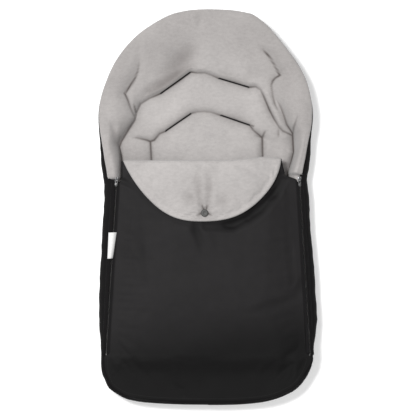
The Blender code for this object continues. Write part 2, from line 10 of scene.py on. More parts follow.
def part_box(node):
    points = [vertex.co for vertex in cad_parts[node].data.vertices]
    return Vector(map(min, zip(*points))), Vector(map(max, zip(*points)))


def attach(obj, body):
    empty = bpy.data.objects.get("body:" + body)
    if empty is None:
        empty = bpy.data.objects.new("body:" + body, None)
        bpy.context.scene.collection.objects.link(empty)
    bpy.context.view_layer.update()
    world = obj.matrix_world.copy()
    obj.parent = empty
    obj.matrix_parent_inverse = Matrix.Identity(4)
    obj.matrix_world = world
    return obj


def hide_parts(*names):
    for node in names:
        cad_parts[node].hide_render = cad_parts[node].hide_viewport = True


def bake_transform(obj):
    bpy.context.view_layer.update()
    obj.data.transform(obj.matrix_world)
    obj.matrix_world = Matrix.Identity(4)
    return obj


# Car seat footmuff on its back: hood towards +Y, foot towards -Y. Everything is in metres, apart from the
# lines of sewing and what goes with them, which are in millimetres.
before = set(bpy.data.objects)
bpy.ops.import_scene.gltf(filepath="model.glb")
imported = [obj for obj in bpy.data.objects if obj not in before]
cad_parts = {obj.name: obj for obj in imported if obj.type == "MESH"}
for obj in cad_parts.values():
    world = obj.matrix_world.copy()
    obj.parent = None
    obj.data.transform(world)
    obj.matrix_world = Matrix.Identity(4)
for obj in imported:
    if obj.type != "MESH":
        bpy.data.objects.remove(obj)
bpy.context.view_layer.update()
print("frame loaded:", len(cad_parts), "nodes")

scene = bpy.context.scene
sides = (("Left", -1.0), ("Right", 1.0))
clothThick = 0.0012


def smoothStep(low, high, value):
    share = np.clip((value - low) / (high - low), 0.0, 1.0)
    return share * share * (3 - 2 * share)


# A size that grows from none at the start to all of it at the end. The start may be the higher value
def ramp(plan, value):
    size, start, end = plan
    return size * smoothStep(start, end, value)


def mix(first, second, share):
    return first + (second - first) * share


# A quarter circle: 0 at the edge and 1 from the radius inwards
def rounded(distance, radius):
    return np.sqrt(np.clip(1 - (1 - np.clip(distance / radius, 0, 1)) ** 2, 0, 1))


def bySide(side, left, right):
    return np.where(side < 0, left, right)


def stack(x, y, z):
    return np.stack(np.broadcast_arrays(x, y, z), axis=-1).astype(float)


# Noise from five slow waves, the same on every run
def ripple(x, y, length, seed):
    total = 0.0
    for k in range(5):
        turn = seed * 1.7 + k * 2.399
        size = 2 * math.pi / (length * (0.75 + 0.17 * k))
        total = total + np.sin((x * math.cos(turn) + y * math.sin(turn)) * size + seed * 3.1 + k * 1.3)
    return total / 5


def linkPiece(name, data, materials=()):
    piece = bpy.data.objects.new(name, data)
    scene.collection.objects.link(piece)
    for material in materials:
        data.materials.append(material)
    return piece


def addPiece(name, mesh, materials, body, replaced=()):
    piece = linkPiece(name, mesh, materials)
    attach(piece, body)
    if replaced:
        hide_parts(*replaced)
    return piece


def thicken(piece, thickness, offset):
    wall = piece.modifiers.new("thickness", "SOLIDIFY")
    wall.thickness = thickness
    wall.offset = offset


def readSpots(mesh):
    spots = np.empty(len(mesh.vertices) * 3)
    mesh.vertices.foreach_get("co", spots)
    return spots.reshape(-1, 3)


def bmeshOf(mesh):
    bm = bmesh.new()
    bm.from_mesh(mesh)
    return bm


def intoMesh(bm, mesh):
    bm.to_mesh(mesh)
    bm.free()
    mesh.shade_smooth()
    return mesh


def meshFrom(bm, name):
    return intoMesh(bm, bpy.data.meshes.new(name))


def joinInto(bm, part):
    mesh = meshFrom(part, "part")
    bm.from_mesh(mesh)
    bpy.data.meshes.remove(mesh)


def raiseCopy(bm, height):
    grown = bmesh.ops.extrude_face_region(bm, geom=bm.faces[:], use_keep_orig=True)
    raised = [g for g in grown["geom"] if isinstance(g, bmesh.types.BMVert)]
    bmesh.ops.translate(bm, verts=raised, vec=(0, 0, height))


# A ball drawn out to the given size, its poles along X if it lies
def ballMesh(segments, rings, size, lying=True):
    bm = bmesh.new()
    bmesh.ops.create_uvsphere(bm, u_segments=segments, v_segments=rings, radius=0.5)
    if lying:
        bmesh.ops.rotate(bm, verts=bm.verts, matrix=Matrix.Rotation(math.pi / 2, 3, "Y"))
    bmesh.ops.scale(bm, verts=bm.verts, vec=size)
    return bm


def tidyMesh(mesh, merge=0.00002):
    bm = bmeshOf(mesh)
    bmesh.ops.remove_doubles(bm, verts=bm.verts, dist=merge)
    bmesh.ops.dissolve_degenerate(bm, edges=bm.edges, dist=merge / 2)
    bmesh.ops.recalc_face_normals(bm, faces=bm.faces)
    closed = all(e.is_manifold for e in bm.edges)
    if closed and bm.calc_volume(signed=True) < 0:
        bmesh.ops.reverse_faces(bm, faces=bm.faces)
    return intoMesh(bm, mesh)


# Turns an open sheet's faces towards one direction
def faceTowards(mesh, way=(0, 0, 1)):
    bm = bmeshOf(mesh)
    if sum(f.normal.dot(Vector(way)) * f.calc_area() for f in bm.faces) < 0:
        bmesh.ops.reverse_faces(bm, faces=bm.faces)
    return intoMesh(bm, mesh)


def gridNumbers(spots, columns, rows):
    return np.rint((spots[:, 0] + 0.5) * columns), np.rint((spots[:, 1] + 0.5) * rows)


# A grid of faces, placed by a function of the column and row numbers
def gridMesh(name, columns, rows, place):
    bm = bmesh.new()
    bmesh.ops.create_grid(bm, x_segments=columns, y_segments=rows, size=0.5)
    mesh = meshFrom(bm, name)
    column, row = gridNumbers(readSpots(mesh), columns, rows)
    mesh.vertices.foreach_set("co", place(column, row).ravel())
    return tidyMesh(mesh)


# A closed pad: a grid and its raised copy; material 0 on top, 1 below and round the edge
def padMesh(name, columns, rows, place):
    bm = bmesh.new()
    bmesh.ops.create_grid(bm, x_segments=columns, y_segments=rows, size=0.5)
    raiseCopy(bm, 1)
    for face in bm.faces:
        face.material_index = 0 if min(v.co.z for v in face.verts) > 0.5 else 1
    mesh = meshFrom(bm, name)
    spots = readSpots(mesh)
    column, row = gridNumbers(spots, columns, rows)
    upper = (spots[:, 2] > 0.5)[:, None]
    placed = np.where(upper, place(column, row, False), place(column, row, True))
    mesh.vertices.foreach_set("co", placed.ravel())
    return tidyMesh(mesh)


# What a piece looks like with its modifiers, as a mesh
def seenMesh(piece):
    bpy.context.view_layer.update()
    return bpy.data.meshes.new_from_object(piece.evaluated_get(bpy.context.evaluated_depsgraph_get()))


def applyModifiers(piece):
    mesh = seenMesh(piece)
    piece.modifiers.clear()
    piece.data = mesh


clothPlan = {"quality": 5, "mass": 0.25, "stiffness": 12, "shear": 5, "bending": 0.3, "leastHold": 0.02,
             "neighbours": 5, "near": 0.0004}


# Swells a pad as sewn cloth over its filling, and moves the piece's own points with it.
# held(x, y) is 1 where the cloth is sewn down and 0 where it is free
def puffPad(piece, settings, held):
    s, c = settings, clothPlan
    coarse = linkPiece("puffing", piece.data.copy())
    coarse.data.materials.clear()
    grain = coarse.modifiers.new("grain", "REMESH")
    grain.mode = "VOXEL"
    grain.voxel_size = s["voxel"]
    applyModifiers(coarse)
    start = readSpots(coarse.data)
    grip = coarse.vertex_groups.new(name="held")
    weights = np.clip(held(start[:, 0], start[:, 1]), 0, 1)
    for i in np.nonzero(weights > c["leastHold"])[0]:
        grip.add([int(i)], float(weights[i]), "REPLACE")
    cloth = coarse.modifiers.new("cloth", "CLOTH")
    cloth.settings.quality = c["quality"]
    cloth.settings.mass = c["mass"]
    cloth.settings.tension_stiffness = c["stiffness"]
    cloth.settings.compression_stiffness = c["stiffness"]
    cloth.settings.shear_stiffness = c["shear"]
    cloth.settings.bending_stiffness = c["bending"]
    cloth.settings.vertex_group_mass = "held"
    cloth.settings.shrink_min = -s["slack"]
    cloth.settings.use_pressure = True
    cloth.settings.uniform_pressure_force = s["pressure"]
    cloth.settings.effector_weights.gravity = 0
    cloth.collision_settings.use_collision = False
    cloth.collision_settings.use_self_collision = False
    cloth.point_cache.frame_start = 1
    cloth.point_cache.frame_end = s["frames"]
    for frameNumber in range(1, s["frames"] + 1):
        scene.frame_set(frameNumber)
    applyModifiers(coarse)
    moved = readSpots(coarse.data) - start
    scene.frame_set(1)
    size = np.linalg.norm(moved, axis=1, keepdims=True)
    moved = moved * np.minimum(1, s["cap"] / np.maximum(size, 1e-9))
    tree = KDTree(len(start))
    for i, spot in enumerate(start):
        tree.insert(spot, i)
    tree.balance()
    own = readSpots(piece.data)
    lift = np.zeros_like(own)
    for i, spot in enumerate(own):
        found = tree.find_n(spot, c["neighbours"])
        share = np.array([1 / (distance + c["near"]) ** 2 for _, _, distance in found])
        lift[i] = (moved[[index for _, index, _ in found]] * share[:, None]).sum(0) / share.sum()
    low = own[:, 2] < s["middle"](own[:, 0], own[:, 1])
    lift[low] *= s["below"]
    print("puffed", piece.name, "by up to", round(float(np.abs(lift).max()) * 1000, 2), "mm")
    piece.data.vertices.foreach_set("co", (own + lift).ravel())
    piece.data.update()
    bpy.data.objects.remove(coarse, do_unlink=True)


# The even outline of the bag, and the skew and the zips that go with it
bagPlan = {
    "headY": 0.400, "footY": -0.400, "hoodHalf": 0.2155, "hoodCentreY": 0.165,
    "waistHalf": 0.2035, "waistY": 0.043, "hipHalf": 0.2200, "hipY": -0.217,
    "footHalf": 0.2140, "footCornerY": -0.298, "footPower": 2.9,
    "fineStep": 0.0017, "coarseStep": 0.0060, "fineAboveY": 0.045, "slopeReach": 0.004,
    "tuck": 0.034, "hoodTuck": (0.018, 0.0, 0.100),
}
# The bag lies a little askew: by y, how far its left and right edges stand out past the even outline
skew = {
    "y": [-400, -395, -389, -379, -349, -308, -268, -227, -187, -146, -106, -66, -25, 15, 56, 96, 136, 177,
          217, 258, 298, 318, 330, 342, 355, 367, 379, 391, 398.5, 400],
    "left": [0, 20, 24, 17, 6, 3, 3, 1, 2, 3, 4, 6, 7, 7, 8, 10, 8, 7, 7, 6, 7, 7, 7, 7, 7, 6, 7, 11, 8, 0],
    "right": [0, 2, -2, -7, -8, -1, 1, 2, 0, 0, 1, 0, 1, 2, -3, 0, -2, -2, -2, 0, -2, -3, -2, 0, 4, 10, 16,
              28, 20, 0],
}
zipPlan = {"topX": 0.1840, "topY": 0.0620, "bottomX": 0.2060, "bottomY": -0.2990, "reach": 0.0046}
footBlend = (-0.340, -0.304)
# Pairs are left and right, or where a change begins and ends. A size before such a pair goes into ramp
apronPlan = {
    "topY": 0.0960, "corner": (0.0490, 0.0545), "cornerWidth": (0.008, 0.012), "topHalf": (0.1750, 0.1545),
    "topNarrow": (0.0060, 0.066, 0.0960), "footInset": 0.0085, "coverFrom": (-0.2935, -0.3000),
    "tipY": bagPlan["footY"] + 0.0085 - 0.0020, "footPower": 3.0, "footOut": 0.0022, "footSkew": 0.004,
    "lipInset": 0.001, "lipOut": 0.0012, "columns": 120, "rows": 190, "gather": 0.35, "edgeZ": 0.0605,
    "crown": (0.0180, -0.400, -0.140), "chest": (0.5, -0.0105, 0.0960), "foldFrom": 0.040,
    "edgeThick": 0.0080, "loft": 0.0060, "round": 0.0045, "halfThick": 0.0055, "wavesBelow": 0.3,
    "waves": ((0.0009, 0.13, 5.0), (0.0004, 0.045, 6.0)),
}


def halfWidth(y):
    b = bagPlan
    rise = (y - b["hoodCentreY"]) / (b["headY"] - b["hoodCentreY"])
    hood = b["hoodHalf"] * np.sqrt(np.clip(1 - rise * rise, 0, 1))
    upper = mix(b["waistHalf"], b["hoodHalf"], smoothStep(b["waistY"], b["hoodCentreY"], y))
    lower = mix(b["hipHalf"], b["waistHalf"], smoothStep(b["hipY"], b["waistY"], y))
    hip = mix(b["footHalf"], b["hipHalf"], smoothStep(b["footCornerY"], b["hipY"], y))
    reach = np.clip((b["footCornerY"] - y) / (b["footCornerY"] - b["footY"]), 0, 1)
    foot = b["footHalf"] * (1 - reach ** b["footPower"]) ** (1 / b["footPower"])
    limits = [y >= b[key] for key in ("hoodCentreY", "waistY", "hipY", "footCornerY")]
    return np.select(limits, [hood, upper, lower, hip], foot)


# The right half of the outline, from the tip of the hood to the tip of the foot
def traceOutline():
    b = bagPlan
    turn = np.linspace(0, math.pi / 2, 500)
    hoodX = b["hoodHalf"] * np.sin(turn)
    hoodY = b["hoodCentreY"] + (b["headY"] - b["hoodCentreY"]) * np.cos(turn)
    sideY = np.linspace(b["hoodCentreY"], b["footCornerY"], 700)[1:-1]
    turn = turn[::-1]
    footX = b["footHalf"] * np.sin(turn) ** (2 / b["footPower"])
    footDrop = (b["footCornerY"] - b["footY"]) * np.clip(np.cos(turn), 0, 1) ** (2 / b["footPower"])
    x = np.concatenate([hoodX, halfWidth(sideY), footX])
    y = np.concatenate([hoodY, sideY, b["footCornerY"] - footDrop])
    run = np.concatenate([[0], np.cumsum(np.hypot(np.diff(x), np.diff(y)))])
    stops, at = [0.0], 0.0
    while at < run[-1]:
        here = np.interp(at, run, y)
        at += b["fineStep"] if here > b["fineAboveY"] else b["coarseStep"]
        stops.append(min(at, run[-1]))
    stops[-1] = run[-1]
    px, py = np.interp(stops, run, x), np.interp(stops, run, y)
    ahead = np.minimum(np.array(stops) + b["slopeReach"], run[-1])
    behind = np.maximum(np.array(stops) - b["slopeReach"], 0)
    alongX, alongY = (np.interp(ahead, run, axis) - np.interp(behind, run, axis) for axis in (x, y))
    size = np.hypot(alongX, alongY)
    outX, outY = -alongY / size, alongX / size
    outX[0], outY[0], outX[-1], outY[-1] = 0.0, 1.0, 0.0, -1.0
    px[0], px[-1] = 0.0, 0.0
    return px, py, outX, outY


edgeX, edgeY, outX, outY = traceOutline()
rowCount = len(edgeX) - 1
print("outline rows:", rowCount)


def zipX(y):
    share = (zipPlan["topY"] - y) / (zipPlan["topY"] - zipPlan["bottomY"])
    return mix(zipPlan["topX"], zipPlan["bottomX"], share)


def skewAt(y, side):
    return bySide(side, *(np.interp(y * 1000, skew["y"], skew[word]) for word in ("left", "right"))) / 1000


def sideEdge(row, side):
    return edgeX[row] + skewAt(edgeY[row], side)


# The point that lies an inset inside the bag's edge at a row
def insideEdge(row, inset, side):
    return (sideEdge(row, side) - outX[row] * inset) * side, edgeY[row] - outY[row] * inset


# How far inside the outline the walls' upper edge lies
def wallEdge(row, side):
    y, x = edgeY[row], sideEdge(row, side)
    alongZip = np.maximum(0.001, x - zipX(y) - zipPlan["reach"])
    return mix(apronPlan["footInset"], alongZip, smoothStep(*footBlend, y))


# How far the walls' foot is tucked in under the bag
def tuckWidth(row):
    return bagPlan["tuck"] + ramp(bagPlan["hoodTuck"], edgeY[row])


# Shader socket, its key in a look, and its value where the look has none
shaderSockets = (
    ("Roughness", "rough", 0.5), ("Metallic", "metal", 0.0), ("Specular IOR Level", "gloss", 0.5),
    ("Sheen Weight", "sheen", 0.0), ("Sheen Roughness", "sheenRough", 0.5),
)


def shaderInputs(material):
    return material.node_tree.nodes["Principled BSDF"].inputs


def newMaterial(name, look):
    material = bpy.data.materials.new(name)
    material.use_nodes = True
    inputs = shaderInputs(material)
    inputs["Base Color"].default_value = (*look["colour"], 1.0)
    for socket, key, usual in shaderSockets:
        inputs[socket].default_value = look.get(key, usual)
    material.diffuse_color = (*look["colour"], 1.0)
    return material


# Adds a node; each of its inputs takes a value or another node's output
def addNode(material, kind, inputs):
    tree = material.node_tree
    node = tree.nodes.new("ShaderNode" + kind)
    for key, value in inputs.items():
        if isinstance(value, bpy.types.NodeSocket):
            tree.links.new(value, node.inputs[key])
        else:
            node.inputs[key].default_value = value
    return node


def objectSpace(material, stretch=(1, 1, 1)):
    place = addNode(material, "TexCoord", {}).outputs["Object"]
    return addNode(material, "Mapping", {"Scale": stretch, "Vector": place}).outputs["Vector"]


def noiseNode(material, vector, scale, detail=2.0, rough=0.5):
    inputs = {"Scale": scale, "Detail": detail, "Roughness": rough, "Vector": vector}
    return addNode(material, "TexNoise", inputs).outputs["Fac"]


def mixed(material, first, second, share):
    return addNode(material, "Mix", {"Factor": share, "A": first, "B": second}).outputs["Result"]


def tinted(material, fac, colour, dark, light, low, high):
    node = addNode(material, "ValToRGB", {"Fac": fac})
    for element, factor, position in zip(node.color_ramp.elements, (dark, light), (low, high)):
        element.position = position
        element.color = (*shade(colour, factor), 1)
    material.node_tree.links.new(node.outputs["Color"], shaderInputs(material)["Base Color"])


# Mixes a deeper colour into the base colour by a share from another node
def mixedInto(material, share, colour):
    links = material.node_tree.links
    target = shaderInputs(material)["Base Color"]
    source = target.links[0].from_socket
    node = material.node_tree.nodes.new("ShaderNodeMix")
    node.data_type = "RGBA"
    links.new(share, node.inputs["Factor"])
    links.new(source, node.inputs[6])
    node.inputs[7].default_value = (*colour, 1)
    links.new(node.outputs[2], target)


# Painted shade: deepens the colour in the folds and hollows, where the piece's own attribute says so
def darkened(material, colour):
    layer = addNode(material, "Attribute", {})
    layer.attribute_name = "paintedShade"
    mixedInto(material, layer.outputs["Fac"], colour)


def bumped(material, height, strength, distance):
    bump = addNode(material, "Bump", {"Strength": strength, "Distance": distance, "Height": height})
    material.node_tree.links.new(bump.outputs["Normal"], shaderInputs(material)["Normal"])


def shade(colour, factor):
    return tuple(c * factor for c in colour)


# A noise is given by its scale, detail and roughness. "mix" is the share of the second noise, of the third,
# and of the second in the bump. "tones" are the darkest and the lightest factor of the colour, and where on
# the grain they begin. "fold" is the colour of the painted shade in the folds and hollows
fleeceLook = {
    "colour": (0.346, 0.329, 0.322), "fold": (0.040, 0.030, 0.026), "rough": 0.95, "gloss": 0.15,
    "sheen": 0.25, "sheenRough": 0.6, "pile": (950, 3.0, 0.65), "clumps": (210, 2.0, 0.55), "broad": 14,
    "pileShape": (0.55, 1.0, 1.0), "clumpShape": (0.6, 1.0, 1.0), "mix": (0.5, 0.35, 0.42),
    "tones": (0.84, 1.12, 0.34, 0.66), "bump": (0.45, 0.0016),
}
# Both black cloths take painted shade towards the foot, where the cloth slopes away from the light, along a
# line that slants by "slant"; "deep" is that shade's factor of the colour, and "fold" the factor for the
# painted shade in the folds
clothLook = {
    "threads": 420, "bend": 0.6, "soft": 60, "slow": (9, 1.0), "mix": (0.5, 0.4, 0.4),
    "tones": (0.78, 1.22, 0.3, 0.7), "bump": (0.22, 0.0005), "slant": -0.14, "deep": 0.15, "fold": 0.2,
}
shellLook = {
    **clothLook, "colour": (0.0108, 0.0100, 0.0105), "rough": 0.66, "gloss": 0.13, "sheen": 0.02,
    "sheenRough": 0.4, "fallFrom": -0.19, "fallTo": -0.31, "footShade": 0.95,
}
# Cloth of the walls and the hood's outside: the shell cloth made duller, its darker colour painted shade
sideLook = {
    **clothLook, "colour": (0.0072, 0.0068, 0.0071), "rough": 0.80, "gloss": 0.05, "fallFrom": -0.20,
    "fallTo": -0.31, "footShade": 0.10,
}
# Small parts share one speckled base: grain, and strength and depth of its bump
speckTones, speckNoise = (0.8, 1.2, 0.3, 0.7), (2.0, 0.6)
tapeLook = {"colour": (0.007, 0.0067, 0.007), "rough": 0.85, "gloss": 0.1, "grain": 1400, "bump": (0.35, 4e-4)}
coilLook = {"colour": (0.0065, 0.0065, 0.0068), "rough": 0.5, "gloss": 0.22, "grain": 500, "bump": (0.08, 2e-4)}
metalLook = {"colour": (0.17, 0.17, 0.175), "rough": 0.46, "metal": 1.0, "grain": 700, "bump": (0.05, 1e-4)}
enamelLook = {"colour": (0.016, 0.016, 0.0165), "rough": 0.34, "grain": 700, "bump": (0.05, 1e-4)}
snapLook = {"colour": (0.060, 0.060, 0.058), "rough": 0.58, "gloss": 0.35, "grain": 900, "bump": (0.06, 1e-4)}
labelLook = {"colour": (0.60, 0.595, 0.59), "rough": 0.7, "gloss": 0.3, "sheen": 0.1, "grain": 1500,
             "bump": (0.15, 2e-4)}
threadLook = {"colour": (0.010, 0.0097, 0.010), "rough": 0.7, "gloss": 0.3, "grain": 2500, "bump": (0.3, 2e-4)}


# Brushed fleece: clumps of pile, drawn a little sideways, over a broad change of tone
def makeFleece():
    look = fleeceLook
    material = newMaterial("fleecePile", look)
    pile = noiseNode(material, objectSpace(material, look["pileShape"]), *look["pile"])
    clumps = noiseNode(material, objectSpace(material, look["clumpShape"]), *look["clumps"])
    broad = noiseNode(material, objectSpace(material), look["broad"])
    second, third, raised = look["mix"]
    tone = mixed(material, mixed(material, pile, clumps, second), broad, third)
    tinted(material, tone, look["colour"], *look["tones"])
    # Painted shade in the folds and hollows
    darkened(material, look["fold"])
    bumped(material, mixed(material, pile, clumps, raised), *look["bump"])
    return material


# Woven polyester: fine crossing threads, a soft sheen and slow broad changes of tone; painted shade towards
# the foot and in the folds
def makeShell(name, look):
    material = newMaterial(name, look)
    vector = objectSpace(material)
    heights = []
    for direction in ("X", "Y"):
        wave = addNode(material, "TexWave", {
            "Scale": look["threads"], "Distortion": look["bend"], "Detail": 1.0, "Vector": vector})
        wave.bands_direction = direction
        heights.append(wave.outputs["Fac"])
    weave = mixed(material, *heights, 0.5)
    soft = noiseNode(material, vector, look["soft"])
    slow = noiseNode(material, vector, *look["slow"])
    second, third, raised = look["mix"]
    tone = mixed(material, mixed(material, weave, soft, second), slow, third)
    tinted(material, tone, look["colour"], *look["tones"])
    # Painted shade towards the foot, where the cloth slopes away from the light
    place = addNode(material, "SeparateXYZ", {"Vector": vector})
    slope = addNode(material, "Math", {0: place.outputs["X"], 1: look["slant"], 2: place.outputs["Y"]})
    slope.operation = "MULTIPLY_ADD"
    footShade = addNode(material, "MapRange", {
        "From Min": look["fallFrom"], "From Max": look["fallTo"], "To Min": 0.0, "To Max": look["footShade"],
        "Value": slope.outputs["Value"]})
    footShade.interpolation_type = "SMOOTHSTEP"
    mixedInto(material, footShade.outputs["Result"], shade(look["colour"], look["deep"]))
    # Painted shade in the folds and hollows
    darkened(material, shade(look["colour"], look["fold"]))
    bumped(material, mixed(material, weave, soft, raised), *look["bump"])
    return material


def makeSpeckled(name, look):
    material = newMaterial(name, look)
    grain = noiseNode(material, objectSpace(material), look["grain"], *speckNoise)
    tinted(material, grain, look["colour"], *speckTones)
    bumped(material, grain, *look["bump"])
    return material


fleece = makeFleece()
shell = makeShell("shellCloth", shellLook)
# The walls' cloth: its darker colour is painted shade
shellDark = makeShell("shellSideShaded", sideLook)
tapeCloth = makeSpeckled("zipTapeCloth", tapeLook)
coilNylon = makeSpeckled("coilNylon", coilLook)
dullMetal = makeSpeckled("dullMetal", metalLook)
blackEnamel = makeSpeckled("blackEnamel", enamelLook)
snapPlastic = makeSpeckled("snapPlastic", snapLook)
labelCloth = makeSpeckled("labelRibbon", labelLook)
threadCloth = makeSpeckled("sewingThread", threadLook)
print("materials made")


# One line of sewing or folding, in millimetres. Its points are x, y and how deep it is there, from 0 to 1.
# A soft line is a hollow with its own tone of painted shade, and the others are sharp seams, which take
# painted shade of their own
def seam(depth, width, points, soft=False, tone=0.18):
    return {"depth": depth, "width": width, "points": points, "soft": soft, "tone": tone}


# Fleece lining of the hood and the back, and its lines
hoodLines = {
    "upperArch": seam(11, 25, [
        (-150, 186, .6), (-145, 193, .8), (-137, 210, .8), (-120, 221, .75), (-97, 231, 1), (-67, 251, 1),
        (-35, 275, 1), (-22, 273, .75), (-6, 273, .65), (8, 268, .7), (22, 262, .9), (53, 254, 1),
        (82, 244, 1), (97, 245, .75), (106, 239, .6)]),
    "upperArchEnd": seam(7.5, 15, [
        (106, 239, .6), (113, 225, .9), (124, 199, 1), (133, 181, .9), (144, 163, .7)]),
    "lowerArch": seam(10.5, 23, [
        (-117, 134, 1), (-109, 137, 1), (-98, 150, .85), (-86, 155, .9), (-61, 173, 1), (-34, 191, .85),
        (-22, 194, .65), (-8, 195, .6), (8, 193, .65), (26, 187, .9), (55, 178, 1), (85, 167, 1),
        (92, 157, .8), (110, 142, 1)]),
    "lowerHook": seam(5, 8, [(85, 167, .9), (92, 165, .8), (97, 167, 0)]),
    "leftStub": seam(8, 14, [(-164, 143, 0), (-143, 141, .7), (-125, 137, .9), (-117, 134, 1)]),
    "leftPost": seam(9, 17, [(-117, 134, 1), (-115, 98, .95), (-113, 56, .8), (-113, 10, 0)]),
    "rightPost": seam(9, 17, [(110, 142, 1), (111, 103, .95), (111, 56, .8), (111, 10, 0)]),
    "rightPucker": seam(8, 10, [(110, 142, 1), (114, 151, .8), (120, 161, 0)]),
    "rightPuckerLow": seam(6, 9, [(110, 142, 1), (99, 146, .5), (87, 154, 0)]),
    "leftRimFoot": seam(13, 27, [
        (-145, 193, .75), (-149, 177, .95), (-162, 157, 1), (-176, 134, 1), (-180, 123, 1), (-176, 105, 1),
        (-174, 90, 1), (-173, 50, .9), (-176, -40, .6)]),
    "leftRimFold": seam(8, 13, [(-196, 180, 0), (-190, 164, .6), (-187, 141, .9), (-181, 126, 1)], True),
    "leftDart": seam(12, 22, [
        (-134, 330, 0), (-138, 298, .4), (-142, 275, .75), (-149, 258, .95), (-160, 242, 1),
        (-168, 230, .95)]),
    "leftDartTail": seam(9, 14, [(-168, 230, 1), (-162, 217, .9), (-157, 202, .8), (-150, 186, .7)]),
    "leftNotch": seam(9, 9, [(-150, 216, 0), (-149, 205, .8), (-146, 193, 1)]),
    "rightDart": seam(11, 17, [
        (98, 326, 0), (109, 318, .7), (120, 309, 1), (128, 298, .85), (137, 282, .8), (145, 267, 1)]),
    "rightDartTurn": seam(10, 14, [
        (145, 267, 1), (136, 262, .9), (131, 256, 1), (128, 247, .8), (131, 227, .7), (135, 211, .8),
        (141, 198, .5)]),
    "rightRimFoot": seam(13, 20, [
        (138, 221, .3), (148, 202, .8), (160, 168, .9), (172, 150, 1), (173, 126, 1), (174, 112, 1),
        (169, 92, 1), (163, 72, .9), (161, 50, .8), (170, -40, .6)]),
    "rightRimFold": seam(8, 13, [(184, 201, 0), (180, 184, .5), (173, 161, .9), (172, 150, 1)]),
    "rightInnerFold": seam(8, 11, [(144, 163, .7), (152, 155, .8), (172, 146, .9)]),
    "rightShort": seam(6, 8, [(143, 163, .4), (143, 148, .7), (142, 136, 0)]),
    "rightRay": seam(5, 9, [(147, 124, 0), (160, 115, .6), (173, 105, .9)], True),
    "rightRayLow": seam(4, 8, [(150, 106, 0), (160, 99, .6), (170, 93, .9)], True),
    "leftRay": seam(4, 9, [(-150, 112, 0), (-163, 118, .6), (-178, 121, .9)], True),
    "crown": seam(5.5, 15, [(-14, 399, .5), (-13, 383, 1), (-16, 363, .5), (-22, 351, 0)], True),
    "slotShade": seam(6, 24, [
        (-140, 214, 0), (-118, 234, .7), (-92, 250, 1), (-62, 272, 1), (-36, 290, .5),
        (-14, 296, 0)], True, 0.55),
    "slotShadeRight": seam(4, 14, [
        (6, 276, 0), (30, 270, .6), (60, 262, .8), (86, 256, .6), (104, 250, 0)], True, 0.2),
    "rimShadeLeft": seam(2, 22, [
        (-196, 176, 0), (-186, 150, .8), (-180, 126, 1), (-178, 100, .7), (-176, 70, .4)], True, 0.3),
    "crownShade": seam(8, 36, [
        (-20, 338, 0), (-32, 322, .6), (-52, 300, 1), (-66, 282, .9), (-92, 262, .5),
        (-108, 250, 0)], True, 0.44),
    "crownDip": seam(4, 22, [(64, 280, 0), (84, 272, .8), (104, 262, .7), (118, 262, 0)], True),
}


# Nearest point of each line: distance, depth share and length along it
def lineField(x, y, points):
    best = np.full(x.shape, 1e9)
    share = np.zeros(x.shape)
    along = np.zeros(x.shape)
    run = 0.0
    for (ax, ay, da), (bx, by, db) in zip(points[:-1], points[1:]):
        dx, dy = bx - ax, by - ay
        size = math.hypot(dx, dy)
        t = np.clip(((x - ax) * dx + (y - ay) * dy) / (size * size), 0, 1)
        far = np.hypot(x - ax - t * dx, y - ay - t * dy)
        nearer = far < best
        best = np.where(nearer, far, best)
        share = np.where(nearer, da + (db - da) * t, share)
        along = np.where(nearer, run + size * t, along)
        run += size
    return best, share, along


seamShape = {
    "slimmest": 0.45, "core": 0.7, "sharp": 0.85, "pucker": 0.30, "softPucker": 0.08, "puckerReach": 6.5,
    "shadeCore": (0.66, 2.0), "shadeHalo": (0.31, 8.5), "shadePower": 1.5, "softShade": 0.6,
    "beat": (0.12, 9.0, 1.9), "folds": (2.1, 2.2, 13.0), "fineFolds": (0.6, 3.7),
}


# How far the lines pull the cloth down, with small puckers beside the sewing
def linePull(x, y, lines):
    x, y, s = x * 1000, y * 1000, seamShape
    (beat, beatLength, beatShift), (length, bend, bendLength) = s["beat"], s["folds"]
    fine, fineLength = s["fineFolds"]
    pull = np.zeros(x.shape)
    pucker = np.zeros(x.shape)
    for i, line in enumerate(lines.values()):
        far, share, along = lineField(x, y, line["points"])
        width = line["width"] * mix(s["slimmest"], 1, share)
        q = np.clip(far / width, 0, 1)
        if not line["soft"]:
            q = np.clip(np.sqrt(q * q + (s["core"] / width) ** 2), 0, 1)
        form = (1 - q * q) ** 2
        if not line["soft"]:
            form = mix(form, 1 - rounded(q, 1), s["sharp"])
        depth = line["depth"] * share * (1 + beat * np.sin(along / beatLength + i * beatShift))
        pull = np.maximum(pull, depth * form)
        wave = np.sin(along / length + bend * np.sin(along / bendLength + i))
        wave = wave + fine * np.sin(along / fineLength + i)
        strength = s["softPucker"] if line["soft"] else s["pucker"]
        pucker = pucker + share * wave * np.exp(-far / s["puckerReach"]) * strength
    return (pull + pucker) / 1000


# Pairs are left and right, or where a change begins and ends. A size before such a pair goes into ramp
lining = {
    "eased": 4, "bandColumns": 36, "rollColumns": 10, "innerColumns": 224, "innerHalf": 0.1900,
    "padTop": 0.0262, "lowerStep": (0.0035, -4, 9), "upperStep": (0.0062, -4, 9), "thick": 0.0030,
    "hoodTop": 0.0628, "hoodLift": 0.0045, "wallTop": 0.0562, "wallGap": 0.0025,
    "rimEnd": (0.0570, 0.0660), "rimBlend": 0.0022, "rimInset": (0.0098, 0.0128),
    "rimInsetEnds": (0.086, 0.222),
    "rollRadius": 0.0055, "rollStart": -38, "rollTurn": 128, "rollFade": (0.10, 0.33),
    "headward": (0.205, 0.300), "tube": (0.150, 0.085), "tubePower": 2.8, "bulge": 0.0050,
    "risePower": 0.95, "turnedGap": 0.002,
    "underApron": (0.03, -0.03), "calm": 0.75,
    "loft": ((0.0014, 0.105, 1.0), (0.0007, 0.041, 2.0), (0.0002, 0.013, 3.0)),
}
